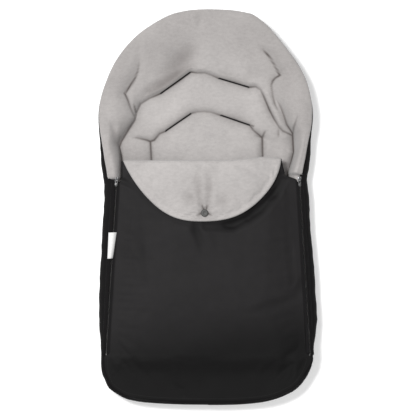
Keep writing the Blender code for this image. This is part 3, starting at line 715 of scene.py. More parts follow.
# Width of the padded rim by y, left and right
rimWidths = {
    "left": ([-0.4, 0.0, 0.064, 0.090, 0.105, 0.123, 0.134, 0.157, 0.177, 0.193, 0.250, 0.348, 0.40],
             [0.036, 0.036, 0.0385, 0.042, 0.042, 0.0395, 0.0445, 0.061, 0.0735, 0.076, 0.080, 0.104, 0.112]),
    "right": ([-0.4, 0.0, 0.050, 0.072, 0.092, 0.112, 0.126, 0.150, 0.168, 0.202, 0.250, 0.348, 0.40],
              [0.034, 0.034, 0.0395, 0.0395, 0.0367, 0.0345, 0.0365, 0.041, 0.0535, 0.063, 0.072, 0.104,
               0.112]),
}
# Where each arch runs across the panel, in millimetres
upperArchRun = (
    [-176, -162, -149, -145, -137, -120, -97, -67, -35, -22, -6, 8, 22, 53, 82, 97, 106, 113, 124, 133, 144,
     172],
    [134, 157, 177, 193, 210, 221, 231, 251, 275, 273, 273, 268, 262, 254, 244, 245, 239, 225, 199, 181, 163,
     146],
)
lowerArchRun = (
    [-164, -143, -125, -117, -109, -98, -86, -61, -34, -22, -8, 8, 26, 55, 85, 92, 110, 130],
    [143, 141, 137, 134, 137, 150, 155, 173, 191, 194, 195, 193, 187, 178, 167, 157, 142, 136],
)


# Height of the padded panel before its lines are drawn in: each pad stands a little above the next
def panelBase(x, y):
    height = lining["padTop"]
    for step, run in (("lowerStep", lowerArchRun), ("upperStep", upperArchRun)):
        height = height + ramp(lining[step], y * 1000 - np.interp(x * 1000, *run))
    return height


# Waves of a few heights and lengths added up
def waves(x, y, rows):
    return sum(height * ripple(x, y, length, seed) for height, length, seed in rows)


def softLoft(x, y):
    return waves(x, y, lining["loft"])


# The panel's lines fade out where the apron hides them
def panelPull(x, y):
    return linePull(x, y, hoodLines) * (1 - lining["calm"] * smoothStep(*lining["underApron"], y))


def panelHeight(x, y):
    return panelBase(x, y) - panelPull(x, y) + softLoft(x, y)


# Rim and wall lining: t is 0 at the free edge outside and 1 at the foot, on the back panel
def liningBand(row, t, side):
    n = lining
    y = edgeY[row]
    radius = n["rollRadius"]
    rimEnd = bySide(side, *n["rimEnd"])
    onRim = smoothStep(rimEnd - n["rimBlend"], rimEnd, y)
    turned = 1 - smoothStep(rimEnd + n["turnedGap"], n["tube"][0], y)
    top = mix(n["wallTop"], n["hoodTop"] + n["hoodLift"] * turned, onRim)
    rimInset = bySide(side, *n["rimInset"]) * (1 - smoothStep(*n["rimInsetEnds"], y))
    inset = mix(wallEdge(row, side) + n["wallGap"], rimInset, onRim)
    width = bySide(side, np.interp(y, *rimWidths["left"]), np.interp(y, *rimWidths["right"]))
    # the rolled edge
    rollShare = n["rollColumns"] / n["bandColumns"]
    phi = np.radians(n["rollStart"] + n["rollTurn"] * np.clip(t / rollShare, 0, 1))
    rollInset = inset + radius - radius * np.cos(phi)
    rollZ = top - radius + radius * np.sin(phi)
    # the slope from the roll down to the panel
    s = np.clip((t - rollShare) / (1 - rollShare), 0, 1)
    share = 1 - s
    innerInset = mix(inset + radius, width, s)
    headward = smoothStep(*n["headward"], y)
    rise = mix(np.sin(share * math.pi / 2) ** n["risePower"], smoothStep(0, 1, share), headward)
    steep = (1 - (1 - share) ** n["tubePower"]) ** (1 / n["tubePower"])
    rise = mix(rise, steep, smoothStep(*n["tube"], y) * onRim)
    bulge = n["bulge"] * np.sin(math.pi * share) * (1 - headward) * onRim
    onRoll = t < rollShare
    px, py = insideEdge(row, np.where(onRoll, rollInset, innerInset), side)
    base = panelBase(px, py)
    return px, py, np.where(onRoll, rollZ, mix(base, top, rise) + bulge)


def placeLining(column, row):
    row = row.astype(int)
    band, inner = lining["bandColumns"], lining["innerColumns"]
    last = 2 * band + inner
    t = np.clip(np.where(column <= band, column / band, (last - column) / band), 0, 1)
    bx, by, bz = liningBand(row, t, np.where(column > last / 2, 1.0, -1.0))
    across = np.clip((column - band) / inner * 2 - 1, -1, 1)
    leftX, footY, _ = liningBand(row, np.ones_like(t), -np.ones_like(t))
    rightX = liningBand(row, np.ones_like(t), np.ones_like(t))[0]
    inside = (column > band) & (column < band + inner)
    x = np.where(inside, np.clip(across * lining["innerHalf"], leftX, rightX), bx)
    y = np.where(inside, footY, by)
    z = np.where(inside, panelBase(x, y), bz)
    onRoll = (t < lining["rollColumns"] / band) & ~inside
    fade = np.where(onRoll, smoothStep(*lining["rollFade"], t), 1.0)
    return stack(x, y, z - panelPull(x, y) * fade + softLoft(x, y) * fade)


# Writes how much painted shade the pile takes at each point: in the seams, in the soft hollows, and at least
# the broad shade given
def markPaintedShade(mesh, lines, broad=0.0):
    spots = readSpots(mesh) * 1000
    paintedShade = np.zeros(len(spots))
    for line in lines.values():
        far, share, _ = lineField(spots[:, 0], spots[:, 1], line["points"])
        if line["soft"]:
            here = line["tone"] * share * np.exp(-(far / (line["width"] * seamShape["softShade"])) ** 2)
        else:
            core, halo = seamShape["shadeCore"], seamShape["shadeHalo"]
            here = core[0] * np.exp(-(far / core[1]) ** 2) + halo[0] * np.exp(-far / halo[1])
            here = share ** seamShape["shadePower"] * here
        paintedShade = np.maximum(paintedShade, here)
    layer = mesh.attributes.new("paintedShade", "FLOAT", "POINT")
    layer.data.foreach_set("value", np.maximum(paintedShade, broad).astype(np.float32))


slotPlan = {
    "wide": 0.0022, "wall": 0.0011, "over": 0.0003, "inward": -1, "rise": 0.0006, "floor": 0.0004,
    "near": 0.012, "columns": 48, "rows": 8, "tackSize": (0.0034, 0.0036, 0.0016), "tackRise": 0.0003,
    "flat": (1.25, 3.0), "taper": 0.9,
    "lines": {
        "harness_slot_upper_left": ((-0.0965, 0.2310), (-0.0365, 0.2740)),
        "harness_slot_upper_right": ((0.0225, 0.2622), (0.0825, 0.2442)),
        "harness_slot_lower_left": ((-0.0860, 0.1555), (-0.0345, 0.1908)),
        "harness_slot_lower_right": ((0.0262, 0.1874), (0.0850, 0.1672)),
        "crotch_slot": ((-0.0270, -0.0100), (0.0270, -0.0100)),
    },
}


# A slot's middle, its direction, the direction across it and half its length
def slotAxes(start, end):
    a, b = Vector(start), Vector(end)
    along = (b - a).normalized()
    return (a + b) / 2, along, Vector((-along.y, along.x)), (b - a).length / 2


# Cuts the slots out of an open sheet: four planes round each, then the faces between them go
def cutSlots(mesh):
    bm = bmeshOf(mesh)
    centres = np.array([f.calc_center_median()[:2] for f in bm.faces])
    bm.faces.ensure_lookup_table()
    wide, margin = slotPlan["wide"] / 2, slotPlan["near"]
    jobs = []
    for ends in slotPlan["lines"].values():
        middle, along, across, half = slotAxes(*ends)
        far = np.abs((centres - np.array(middle)) @ np.array([along, across]).T)
        near = np.nonzero((far < (half + margin, wide + margin)).all(axis=1))[0]
        jobs.append((middle, along, across, half, [bm.faces[i] for i in near]))
    for middle, along, across, half, faces in jobs:
        geom = list({e for f in faces for e in f.edges}) + list({v for f in faces for v in f.verts}) + faces
        for way, reach in ((across, wide), (across, -wide), (along, half), (along, -half)):
            plane = {"plane_co": (middle + way * reach).to_3d(), "plane_no": way.to_3d()}
            geom = bmesh.ops.bisect_plane(bm, geom=geom, dist=1e-7, **plane)["geom"]
        inside = []
        for face in geom:
            if isinstance(face, bmesh.types.BMFace):
                gap = face.calc_center_median().to_2d() - middle
                if abs(gap.dot(along)) < half and abs(gap.dot(across)) < wide:
                    inside.append(face)
        bmesh.ops.delete(bm, geom=inside, context="FACES")
    return intoMesh(bm, mesh)


# Eases an open sheet's inside points towards their neighbours
def easeMesh(mesh, rounds):
    bm = bmeshOf(mesh)
    inside = [v for v in bm.verts if not v.is_boundary]
    for _ in range(rounds):
        bmesh.ops.smooth_vert(bm, verts=inside, factor=0.5, use_axis_x=True, use_axis_y=True, use_axis_z=True)
    return intoMesh(bm, mesh)


# Broad shade of the lining: its strength, and where it begins and is full. The ring runs round the head's rim
shadePlan = {
    "head": (0.09, 0.19), "ring": (0.125, 0.50, 0.86), "ringHigh": 0.235, "right": (0.05, 0.0, 0.20),
    "leftWall": (0.16, 0.112, 0.122), "rightWall": (0.08, 0.108, 0.118), "crown": (0.03, 0.19, 0.26),
}


def liningShade(x, y):
    p = shadePlan
    ring = np.hypot(x / bagPlan["hoodHalf"], np.maximum(y - bagPlan["hoodCentreY"], 0) / p["ringHigh"])
    onHead = ramp(p["ring"], ring) + ramp(p["right"], x)
    onWalls = ramp(p["leftWall"], -x) + ramp(p["rightWall"], x)
    return mix(onWalls, onHead, smoothStep(*p["head"], y)) + ramp(p["crown"], y)


def buildLining():
    columns = 2 * lining["bandColumns"] + lining["innerColumns"]
    mesh = faceTowards(tidyMesh(gridMesh("fleeceLining", columns, rowCount, placeLining), merge=0.0001))
    easeMesh(mesh, lining["eased"])
    cutSlots(mesh)
    # Painted shade in the seams and hollows, over the broad painted shade of liningShade
    markPaintedShade(mesh, hoodLines, liningShade(*readSpots(mesh)[:, :2].T))
    replaced = [
        f"{part}_{layer}" for part in ("hood", "back", "side_left", "side_right", "foot_wall")
        for layer in ("lining", "wadding")]
    piece = addPiece("fleeceLining", mesh, [fleece], "base", replaced)
    thicken(piece, lining["thick"], -1.0)
    print("lining made:", len(mesh.polygons), "faces")


buildLining()


# Black outer shell: the walls, and the hood's outside
shellPlan = {
    "columns": 30, "bellyZ": 0.033, "edgeZ": 0.0600, "rimEdgeZ": 0.0575, "hoodEdgeZ": 0.0560,
    "rimInset": (0.0088, 0.0128), "turnedEnds": (0.080, 0.208), "lipStart": 0.86, "lipDrop": 0.0012,
    "lipRadius": 0.0016, "rimLipRadius": 0.0010, "rimBlend": 0.002, "sway": (0.0007, 61, 2.0, 17),
    "fineSway": (0.0005, 143),
}


# t is 0 under the bag and 1 at the free edge
def shellPoint(row, t, side):
    p = shellPlan
    y = edgeY[row]
    rimEnd = bySide(side, *lining["rimEnd"])
    onRim = smoothStep(rimEnd - p["rimBlend"], rimEnd, y)
    turned = 1 - smoothStep(*p["turnedEnds"], y)
    tuck = tuckWidth(row)
    s = np.clip(t / p["lipStart"], 0, 1)
    # round the head the cloth rises in a quarter turn, and beside the body in a half turn
    angle = s * math.pi / 2
    edge = mix(wallEdge(row, side), bySide(side, *p["rimInset"]), onRim)
    full = s * math.pi
    lower = s < 0.5
    wallInset = np.where(lower, tuck, edge) * (1 - np.sin(full))
    topZ = mix(p["edgeZ"], p["rimEdgeZ"], onRim)
    wallZ = p["bellyZ"] - np.where(lower, p["bellyZ"], topZ - p["bellyZ"]) * np.cos(full)
    inset = mix(tuck * (1 - np.sin(angle)), wallInset, turned)
    z = mix(p["hoodEdgeZ"] * (1 - np.cos(angle)), wallZ, turned)
    # folded lip over the zip tape, or under the fleece roll
    onLip = t > p["lipStart"]
    lip = np.clip((t - p["lipStart"]) / (1 - p["lipStart"]), 0, 1)
    reach = mix(p["lipRadius"], p["rimLipRadius"], onRim)
    inset = inset + reach * (1 - np.cos(lip * math.pi)) * onLip
    z = z + (reach * np.sin(lip * math.pi) - p["lipDrop"] * lip) * onLip
    (sway, rate, bend, bendRate), (fine, fineRate) = p["sway"], p["fineSway"]
    sway = sway * np.sin(y * rate + bend * np.sin(y * bendRate)) + fine * np.sin(y * fineRate + side)
    inset = inset + np.abs(sway) * np.sin(full)
    return stack(*insideEdge(row, inset, side), np.maximum(z, 0.0))


def buildShell():
    count = shellPlan["columns"]
    for word, side in sides:
        mesh = gridMesh("outerShell" + word, count, rowCount,
                        lambda c, r: shellPoint(r.astype(int), c / count, np.full(c.shape, side)))
        faceTowards(mesh, (side, 0, 0))
        replaced = [f"side_{word.lower()}_outer"] + (["hood_outer", "foot_wall_outer"] if side < 0 else [])
        piece = addPiece("outerShell" + word, mesh, [shellDark], "base", replaced)
        thicken(piece, clothThick, -1.0)


buildShell()
print("shell made")


# Underside: flat cloth that meets the walls' tucked-in foot
underPlan = {"columns": 40, "lap": 0.0010, "sag": 0.0006, "sway": (0.09, 4.0), "lowest": 0.0002}


def placeUnder(column, row):
    row = row.astype(int)
    across = column / underPlan["columns"] * 2 - 1
    px, py = insideEdge(row, tuckWidth(row) - underPlan["lap"], across)
    sag = underPlan["sag"] * (1 + ripple(px, py, *underPlan["sway"])) * (1 - across ** 8)
    return stack(px, py, underPlan["lowest"] + sag)


def buildUnderside():
    mesh = faceTowards(gridMesh("underside", underPlan["columns"], rowCount, placeUnder))
    piece = addPiece("underside", cutSlots(mesh), [shell], "base", ["back_outer"])
    thicken(piece, clothThick, 1.0)


buildUnderside()
print("underside made")


# Apron and foot cover: one pad, with its height, its outline and its lines
def apronTopZ(across, y):
    a = apronPlan
    return a["edgeZ"] + ramp(a["crown"], y) * (1 - ramp(a["chest"], y)) * (1 - across * across)


# Left or right edge of the apron, running on into the foot cover
def apronSide(y, side):
    a = apronPlan
    zipSide = zipX(y) - zipPlan["reach"]
    start = bySide(side, *a["corner"])
    upper = bySide(side, a["topHalf"][0], a["topHalf"][1] - ramp(a["topNarrow"], y))
    wide = mix(zipSide, upper, smoothStep(start, start + bySide(side, *a["cornerWidth"]), y))
    reach = np.clip((bagPlan["footCornerY"] - y) / (bagPlan["footCornerY"] - a["tipY"]), 0, 1)
    footHalf, power = bagPlan["footHalf"] - a["footInset"] + a["footOut"], a["footPower"]
    foot = footHalf * (1 - reach ** power) ** (1 / power)
    foot = foot + skewAt(y, side) * smoothStep(a["tipY"], a["tipY"] + a["footSkew"], y)
    share = smoothStep(footBlend[1], footBlend[0], y)
    whole = halfWidth(y) + skewAt(y, side)
    beside = mix(zipSide + 2 * zipPlan["reach"], whole - a["footInset"], share)
    lip = np.minimum(beside, whole - a["lipInset"]) + a["lipOut"]
    return mix(wide, mix(lip, foot, share), smoothStep(*a["coverFrom"], y))


# Middle and half width of one row of the apron
def apronSpan(y):
    left, right = apronSide(y, -1.0), apronSide(y, 1.0)
    return (right - left) / 2, (right + left) / 2


def apronHeight(x, y):
    middle, half = apronSpan(y)
    return apronTopZ(np.clip((x - middle) / np.maximum(half, 0.001), -1, 1), y)


# The fold line of the flap isn't straight: it rises at the right and a little at its left corner
foldPlan = {"right": (0.0072, 0.040, 0.120), "left": (0.0022, -0.130, -0.168), "drop": 0.0050}


def foldShift(x):
    return ramp(foldPlan["right"], x) + ramp(foldPlan["left"], x) - foldPlan["drop"]


# Apron's soft hollows: their tone is painted shade, and under the flap's edge a painted shadow of the flap
apronLines = {
    "chestFold": seam(3.8, 15, [(-26, -24, .9), (-24, -44, 1), (-16, -70, .5), (-8, -100, 0)], True, 0.8),
    "chestFoldTwo": seam(1.6, 18, [(8, -34, .4), (16, -60, .8), (20, -96, 0)], True),
    "underFlapRight": seam(6.5, 20, [
        (150, 62, .6), (132, 28, .9), (108, 2, 1), (80, -20, 1), (50, -34, 1), (20, -38, .7),
        (-6, -36, .6)], True, 0.8),
    "underFlapLeft": seam(2.2, 11, [
        (-160, 60, .5), (-135, 22, .6), (-100, -10, .6), (-60, -28, .7), (-26, -34, .9)], True, 0.4),
    "leftCorner": seam(2.6, 9, [(-176, 54, 1), (-164, 50, 1), (-151, 42, .7), (-132, 30, 0)], True, 0.35),
    "leftLong": seam(2.2, 17, [
        (-142, 8, 0), (-140, -40, .8), (-138, -90, .9), (-132, -130, .4), (-126, -160, 0)], True, 0.25),
    "rightLong": seam(2.0, 15, [(156, -10, 0), (164, -90, .7), (170, -150, .6), (168, -200, 0)], True),
    "rightFold": seam(2.4, 22, [
        (196, -150, .6), (176, -176, .9), (140, -196, .8), (96, -208, .4), (50, -212, 0)], True, 0.25),
    "footWrinkle": seam(1.4, 8, [(-70, -352, 0), (-56, -366, .9), (-50, -380, .6)], True),
}


def apronPlace(column, row, under):
    a = apronPlan
    across = np.sin((column / a["columns"] * 2 - 1) * math.pi / 2)
    v = row / a["rows"]
    # rows gather towards both ends, for round ends
    y = mix(a["topY"], a["tipY"], mix(v, 0.5 - 0.5 * np.cos(math.pi * v), a["gather"]))
    centre, half = apronSpan(y)
    x = centre + across * half
    y = y + foldShift(x) * smoothStep(a["foldFrom"], a["topY"], y)
    roundSide = rounded((1 - np.abs(across)) * half, a["round"])
    share = roundSide * rounded(y - a["tipY"], a["round"]) * rounded(a["topY"] + foldShift(x) - y, a["round"])
    thick = a["edgeThick"] + a["loft"] * (1 - across ** 4)
    middle = apronTopZ(across, y) - thick / 2
    wobble = waves(x, y, a["waves"])
    if under:
        return stack(x, y, middle - share * thick / 2 + a["wavesBelow"] * wobble * share)
    return stack(x, y, middle + share * (thick / 2 + wobble - linePull(x, y, apronLines) * roundSide))


apronPuff = {
    "voxel": 0.0060, "pressure": 3.0, "slack": 0.003, "frames": 18, "cap": 0.0040, "below": 0.5,
    "rim": (0.005, 0.030), "foot": (-0.388, -0.300), "top": (0.070, 0.084),
    "middle": lambda x, y: apronHeight(x, y) - apronPlan["halfThick"],
}


# The apron is sewn down at its rim, at the foot and under the flap's fold
def apronHeld(x, y):
    centre, half = apronSpan(y)
    rim = 1 - smoothStep(*apronPuff["rim"], half - np.abs(x - centre))
    foot = 1 - smoothStep(*apronPuff["foot"], y)
    return np.maximum(np.maximum(rim, foot), smoothStep(*apronPuff["top"], y))


def buildApron():
    mesh = padMesh("apronPad", apronPlan["columns"], apronPlan["rows"], apronPlace)
    # Painted shade in the apron's hollows, and a painted shadow of the flap under its edge
    markPaintedShade(mesh, apronLines)
    piece = linkPiece("apronPad", mesh, [shell, fleece])
    puffPad(piece, apronPuff, apronHeld)
    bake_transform(piece)
    layers = ("outer", "wadding", "lining")
    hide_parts(*(f"{part}_{layer}" for part in ("apron", "foot_cover") for layer in layers))
    return piece


apronPiece = buildApron()
print("apron made")


# Flap: the folded-down top of the apron, half an oval with a snap in its tip
flapPlan = {
    "centreX": -0.0115, "half": 0.1590, "narrow": (0.152, 0.030), "topY": 0.0960, "depth": 0.1240,
    "gap": 0.0006, "thick": 0.0086, "loft": 0.0022, "columns": 110, "rows": 70, "round": 0.0042,
    "roundReach": 1.05,
    "halfThick": 0.0045, "waves": ((0.0010, 0.085, 7.0), (0.00035, 0.03, 8.0)),
    "dimple": 0.0019, "dimpleReach": 12.0, "folds": 0.0006, "foldsCount": 9.0, "foldsAt": 16,
    "foldsReach": 15.0,
}
snapSpot = (-0.0069, -0.0110)
# Flap's lines: puckers at the snap, and soft hollows whose tone is painted shade
flapLines = {
    "tallLeft": seam(1.7, 15, [(-22, 76, 0), (-21, 52, .8), (-19, 28, 1), (-14, 8, .8)], True, 0.28),
    "tallRight": seam(1.7, 14, [(2, 84, 0), (1, 60, .6), (1, 34, 1), (-1, 8, .8)], True, 0.28),
    "puckerLeft": seam(2.2, 5, [(-15, 12, 0), (-12, 4, .8), (-9, -3, 1)]),
    "puckerRight": seam(2.2, 5, [(2, 12, 0), (-1, 4, .8), (-4, -3, 1)]),
    "wingLeft": seam(2.0, 6, [(-28, -17, 0), (-20, -15, .6), (-14, -12, 1)]),
    "wingRight": seam(2.0, 6, [(13, -19, 0), (6, -15, .6), (0, -12, 1)]),
    "cheekLeft": seam(1.8, 22, [(-40, 40, 0), (-36, 20, 1), (-42, -4, 0)], True, 0.25),
    "cheekRight": seam(1.8, 22, [(28, 36, 0), (30, 12, 1), (36, -10, 0)], True, 0.25),
    "underFold": seam(0.8, 12, [
        (-150, 82, .6), (-60, 84, .8), (20, 84, .8), (90, 86, .8), (132, 86, .4)], True, 0.0),
}


# The flap is narrower below its corners than a plain half oval, most of all at its left
def flapNarrow(x, sine):
    return bySide(x, *flapPlan["narrow"]) * 2 * sine * np.sqrt(1 - sine ** 2)


def flapPlace(column, row, under):
    f = flapPlan
    across = np.sin((column / f["columns"] * 2 - 1) * math.pi / 2)
    angle = row / f["rows"] * math.pi / 2
    x = f["centreX"] + across * f["half"] * np.cos(angle) * (1 - flapNarrow(across, np.sin(angle)))
    y = f["topY"] - f["depth"] * np.sin(angle) + foldShift(x) * np.cos(angle)
    rho = np.sqrt((across * np.cos(angle)) ** 2 + np.sin(angle) ** 2)
    share = rounded((1 - rho) * f["depth"] * f["roundReach"], f["round"])
    thick = f["thick"] + f["loft"] * (1 - rho ** 2)
    middle = apronHeight(x, y) + f["gap"] + thick / 2
    if under:
        return stack(x, y, middle - share * thick / 2)
    # puckers run up from the snap
    dx, dy = (x - snapSpot[0]) * 1000, (y - snapSpot[1]) * 1000
    far = np.hypot(dx, dy)
    dimple = f["dimple"] * np.exp(-(far / f["dimpleReach"]) ** 4)
    ray = np.arctan2(dx, np.maximum(dy, 0.01))
    ring = np.exp(-((far - f["foldsAt"]) / f["foldsReach"]) ** 2)
    folds = f["folds"] * np.cos(ray * f["foldsCount"]) * ring * (dy > -4)
    lift = waves(x, y, f["waves"]) + folds - dimple - linePull(x, y, flapLines)
    return stack(x, y, middle + share * (thick / 2 + lift))


flapPuff = {
    "voxel": 0.0045, "pressure": 4.0, "slack": 0.028, "frames": 20, "cap": 0.0050, "below": 0.15,
    "rim": (0.93, 0.98), "fold": (0.086, 0.092), "snap": (0.0085, 0.0120),
    "middle": lambda x, y: apronHeight(x, y) + flapPlan["gap"] + flapPlan["halfThick"],
}


# The flap is sewn down at its rim, at its fold and round the snap
def flapHeld(x, y):
    f = flapPlan
    sine = np.clip((f["topY"] - y) / f["depth"], 0, 1)
    rho = np.hypot((x - f["centreX"]) / f["half"] / (1 - flapNarrow(x - f["centreX"], sine)), sine)
    rim, fold = smoothStep(*flapPuff["rim"], rho), smoothStep(*flapPuff["fold"], y)
    snap = 1 - smoothStep(*flapPuff["snap"], np.hypot(x - snapSpot[0], y - snapSpot[1]))
    return np.maximum(np.maximum(rim, fold), snap)


def buildFlap():
    mesh = padMesh("flapPad", flapPlan["columns"], flapPlan["rows"], flapPlace)
    # Painted shade in the flap's hollows
    markPaintedShade(mesh, flapLines)
    replaced = ["flap_outer", "flap_wadding", "flap_lining"]
    piece = addPiece("flapPad", mesh, [fleece, shell], "flap", replaced)
    puffPad(piece, flapPuff, flapHeld)


buildFlap()
print("flap made")


# A rolled edge of fleece joins the apron and the flap along their fold; its inside is black outer cloth
rollPlan = {
    "reach": 0.0042, "inside": 0.0030, "over": 0.0003, "under": 0.9, "blackFrom": 0.40, "blackTo": 0.70,
    "columns": 110, "rows": 22, "dent": (0.0006, 0.06, 9.0), "fineDent": (0.0003, 0.02, 10.0),
}


def rollPlace(column, row):
    r, f = rollPlan, flapPlan
    across = np.sin((column / r["columns"] * 2 - 1) * math.pi / 2)
    x = f["centreX"] + across * f["half"]
    top = apronHeight(x, f["topY"] + 0 * x)
    low = top - apronPlan["edgeThick"] - apronPlan["loft"] * (1 - across ** 4) * r["under"]
    high = top + f["gap"] + f["thick"] + f["loft"] * (1 - across ** 2) + r["over"]
    size = np.clip(1 - across ** 12, 0, 1) ** 0.5
    turn = row / r["rows"] * 2 * math.pi
    forward = np.cos(turn)
    y = f["topY"] + np.where(forward > 0, r["reach"], r["inside"]) * forward * size
    z = (high + low) / 2 + (high - low) / 2 * size * np.sin(turn)
    dent = waves(x, y * 0, [r["dent"]]) + waves(x, z, [r["fineDent"]])
    return stack(x, y + dent * size + foldShift(x), z)


def buildRoll():
    mesh = gridMesh("flapRoll", rollPlan["columns"], rollPlan["rows"], rollPlace)
    piece = linkPiece("flapRoll", mesh, [fleece, shell])
    for k, face in enumerate(mesh.polygons):
        turn = (k // rollPlan["columns"] + 0.5) / rollPlan["rows"]
        if rollPlan["blackFrom"] < turn < rollPlan["blackTo"]:
            face.material_index = 1
    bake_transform(piece)


buildRoll()
print("flap's fold made")


# Zips: tapes, teeth, sliders, pulls and stops. Their course is zipPlan's straight line
zipDetail = {
    "pitch": 0.0015, "tooth": (0.0030, 0.0009, 0.0019), "coilZ": 0.0596, "lap": 0.44,
    "tapeFrom": 0.0011, "tapeTo": 0.0078, "tapeLow": 0.0590, "tapeHigh": 0.0598, "tapeRib": 0.00012,
    "ribRate": 210,
    "tapeColumns": 6, "tapeRows": 110,
}
zipSlant = math.atan2(zipPlan["bottomX"] - zipPlan["topX"], zipPlan["topY"] - zipPlan["bottomY"])
zipCourse = (math.sin(zipSlant), -math.cos(zipSlant))
# The two halves of a zip: name, way from its line, top, bottom, body, first word of its nodes, teeth's shift
zipHalves = (
    ("wall", 1.0, zipPlan["topY"], -0.2966, "base", "", 0.0),
    ("apron", -1.0, 0.0520, -0.2952, "apron", "apron_", zipDetail["pitch"] / 2),
)


def zipTurn(side):
    return Matrix.Rotation(side * zipSlant, 4, "Z")


def buildTape(name, side, way, topY, bottomY, body, node):
    z = zipDetail

    def place(column, row, under):
        y = mix(topY, bottomY, row / z["tapeRows"])
        reach = mix(z["tapeFrom"], z["tapeTo"], column / z["tapeColumns"])
        rib = z["tapeRib"] * (np.cos(column * math.pi) + np.sin(y * z["ribRate"]))
        return stack(side * (zipX(y) + way * reach), y, z["tapeLow" if under else "tapeHigh"] + rib)

    mesh = padMesh(name, z["tapeColumns"], z["tapeRows"], place)
    addPiece(name, mesh, [tapeCloth, tapeCloth], body, [node])


def buildTeeth(name, side, way, topY, bottomY, body, node, shift):
    z = zipDetail
    bm = ballMesh(7, 5, z["tooth"])
    bmesh.ops.rotate(bm, verts=bm.verts, matrix=zipTurn(side).to_3x3())
    y = topY - shift
    start = (side * (zipX(y) + way * z["tooth"][0] * z["lap"]), y, z["coilZ"])
    bmesh.ops.translate(bm, verts=bm.verts, vec=start)
    piece = addPiece(name, meshFrom(bm, name), [coilNylon], body, [node])
    row = piece.modifiers.new("row", "ARRAY")
    row.use_relative_offset = False
    row.use_constant_offset = True
    row.constant_offset_displace = (side * zipCourse[0] * z["pitch"], zipCourse[1] * z["pitch"], 0)
    row.count = int((topY - bottomY) / -zipCourse[1] / z["pitch"]) - 1
    applyModifiers(piece)


# A block with bevelled edges, narrower at its low y end by the factor pinch
def blockInto(bm, low, high, bevel, pinch=1.0):
    part = bmesh.new()
    bmesh.ops.create_cube(part, size=1.0)
    bmesh.ops.scale(part, verts=part.verts, vec=Vector(high) - Vector(low))
    for v in part.verts:
        if v.co.y < 0:
            v.co.x *= pinch
    bmesh.ops.bevel(part, geom=part.edges[:], offset=bevel, segments=2, profile=0.5,
                    affect="EDGES", material=-1, clamp_overlap=True)
    bmesh.ops.translate(part, verts=part.verts, vec=(Vector(high) + Vector(low)) / 2)
    joinInto(bm, part)


sliderPlan = {
    "wide": 0.0039, "long": 0.0045, "plate": 0.0010, "low": 0.0583, "high": 0.0609, "centreY": 0.0575,
    "pinch": 0.78, "bevel": 0.00035, "postHalf": 0.0003, "postFrom": 0.0008, "postTo": 0.00405,
    "postSink": 0.0004, "postBevel": 0.0001,
    "bridgeHalf": 0.0010, "bridgeThick": 0.0008, "bridgeRadius": 0.0019, "bridgeY": 0.0009, "bridgeHigh": 1.1,
}
pullPlan = {
    "length": 0.0170, "width": 0.0056, "thick": 0.0012, "pin": (0.18422, 0.05840, 0.06315),
    "pinInset": 0.0012, "stretch": 0.0008, "band": 0.0013, "holeEnd": -0.0080, "holeFlat": 0.05,
    "bevel": 0.0002, "sharp": 1.0,
}
stopPlan = {"size": 0.96, "bevel": 0.0004}


def addMetal(kind, word, bm, material, body):
    node = f"zip_{kind.lower()}_{word.lower()}"
    addPiece(f"zip{kind}{word}", tidyMesh(meshFrom(bm, kind)), [material], body, [node])


def buildSlider(word, side):
    s = sliderPlan
    bm = bmesh.new()
    wide, long = s["wide"], s["long"]
    for low in (s["high"], s["low"] - s["plate"]):
        blockInto(bm, (-wide, -long, low), (wide, long, low + s["plate"]), s["bevel"], s["pinch"])
    blockInto(bm, (-s["postHalf"], s["postFrom"], s["low"] - s["postSink"]),
              (s["postHalf"], s["postTo"], s["high"] + s["postSink"]), s["postBevel"])
    # bridge over the pull's pin: a small upright face, spun half round the pin
    arch = bmesh.new()
    bmesh.ops.create_grid(arch, x_segments=1, y_segments=1, size=0.5)
    bmesh.ops.scale(arch, verts=arch.verts, vec=(s["bridgeHalf"] * 2, s["bridgeThick"], 1))
    bmesh.ops.translate(arch, verts=arch.verts, vec=(0, s["bridgeRadius"] + s["bridgeThick"] / 2, 0))
    bmesh.ops.spin(arch, geom=arch.faces[:], cent=(0, 0, 0), axis=(1, 0, 0), angle=math.pi, steps=12,
                   use_duplicate=False)
    bmesh.ops.scale(arch, verts=arch.verts, vec=(1, 1, s["bridgeHigh"]))
    bmesh.ops.translate(arch, verts=arch.verts, vec=(0, s["bridgeY"], s["high"] + s["plate"] - s["postSink"]))
    joinInto(bm, arch)
    place = Matrix.Translation((side * zipX(s["centreY"]), s["centreY"], 0)) @ zipTurn(side)
    bmesh.ops.transform(bm, matrix=place, verts=bm.verts)
    addMetal("Slider", word, bm, dullMetal, "slider_" + word.lower())


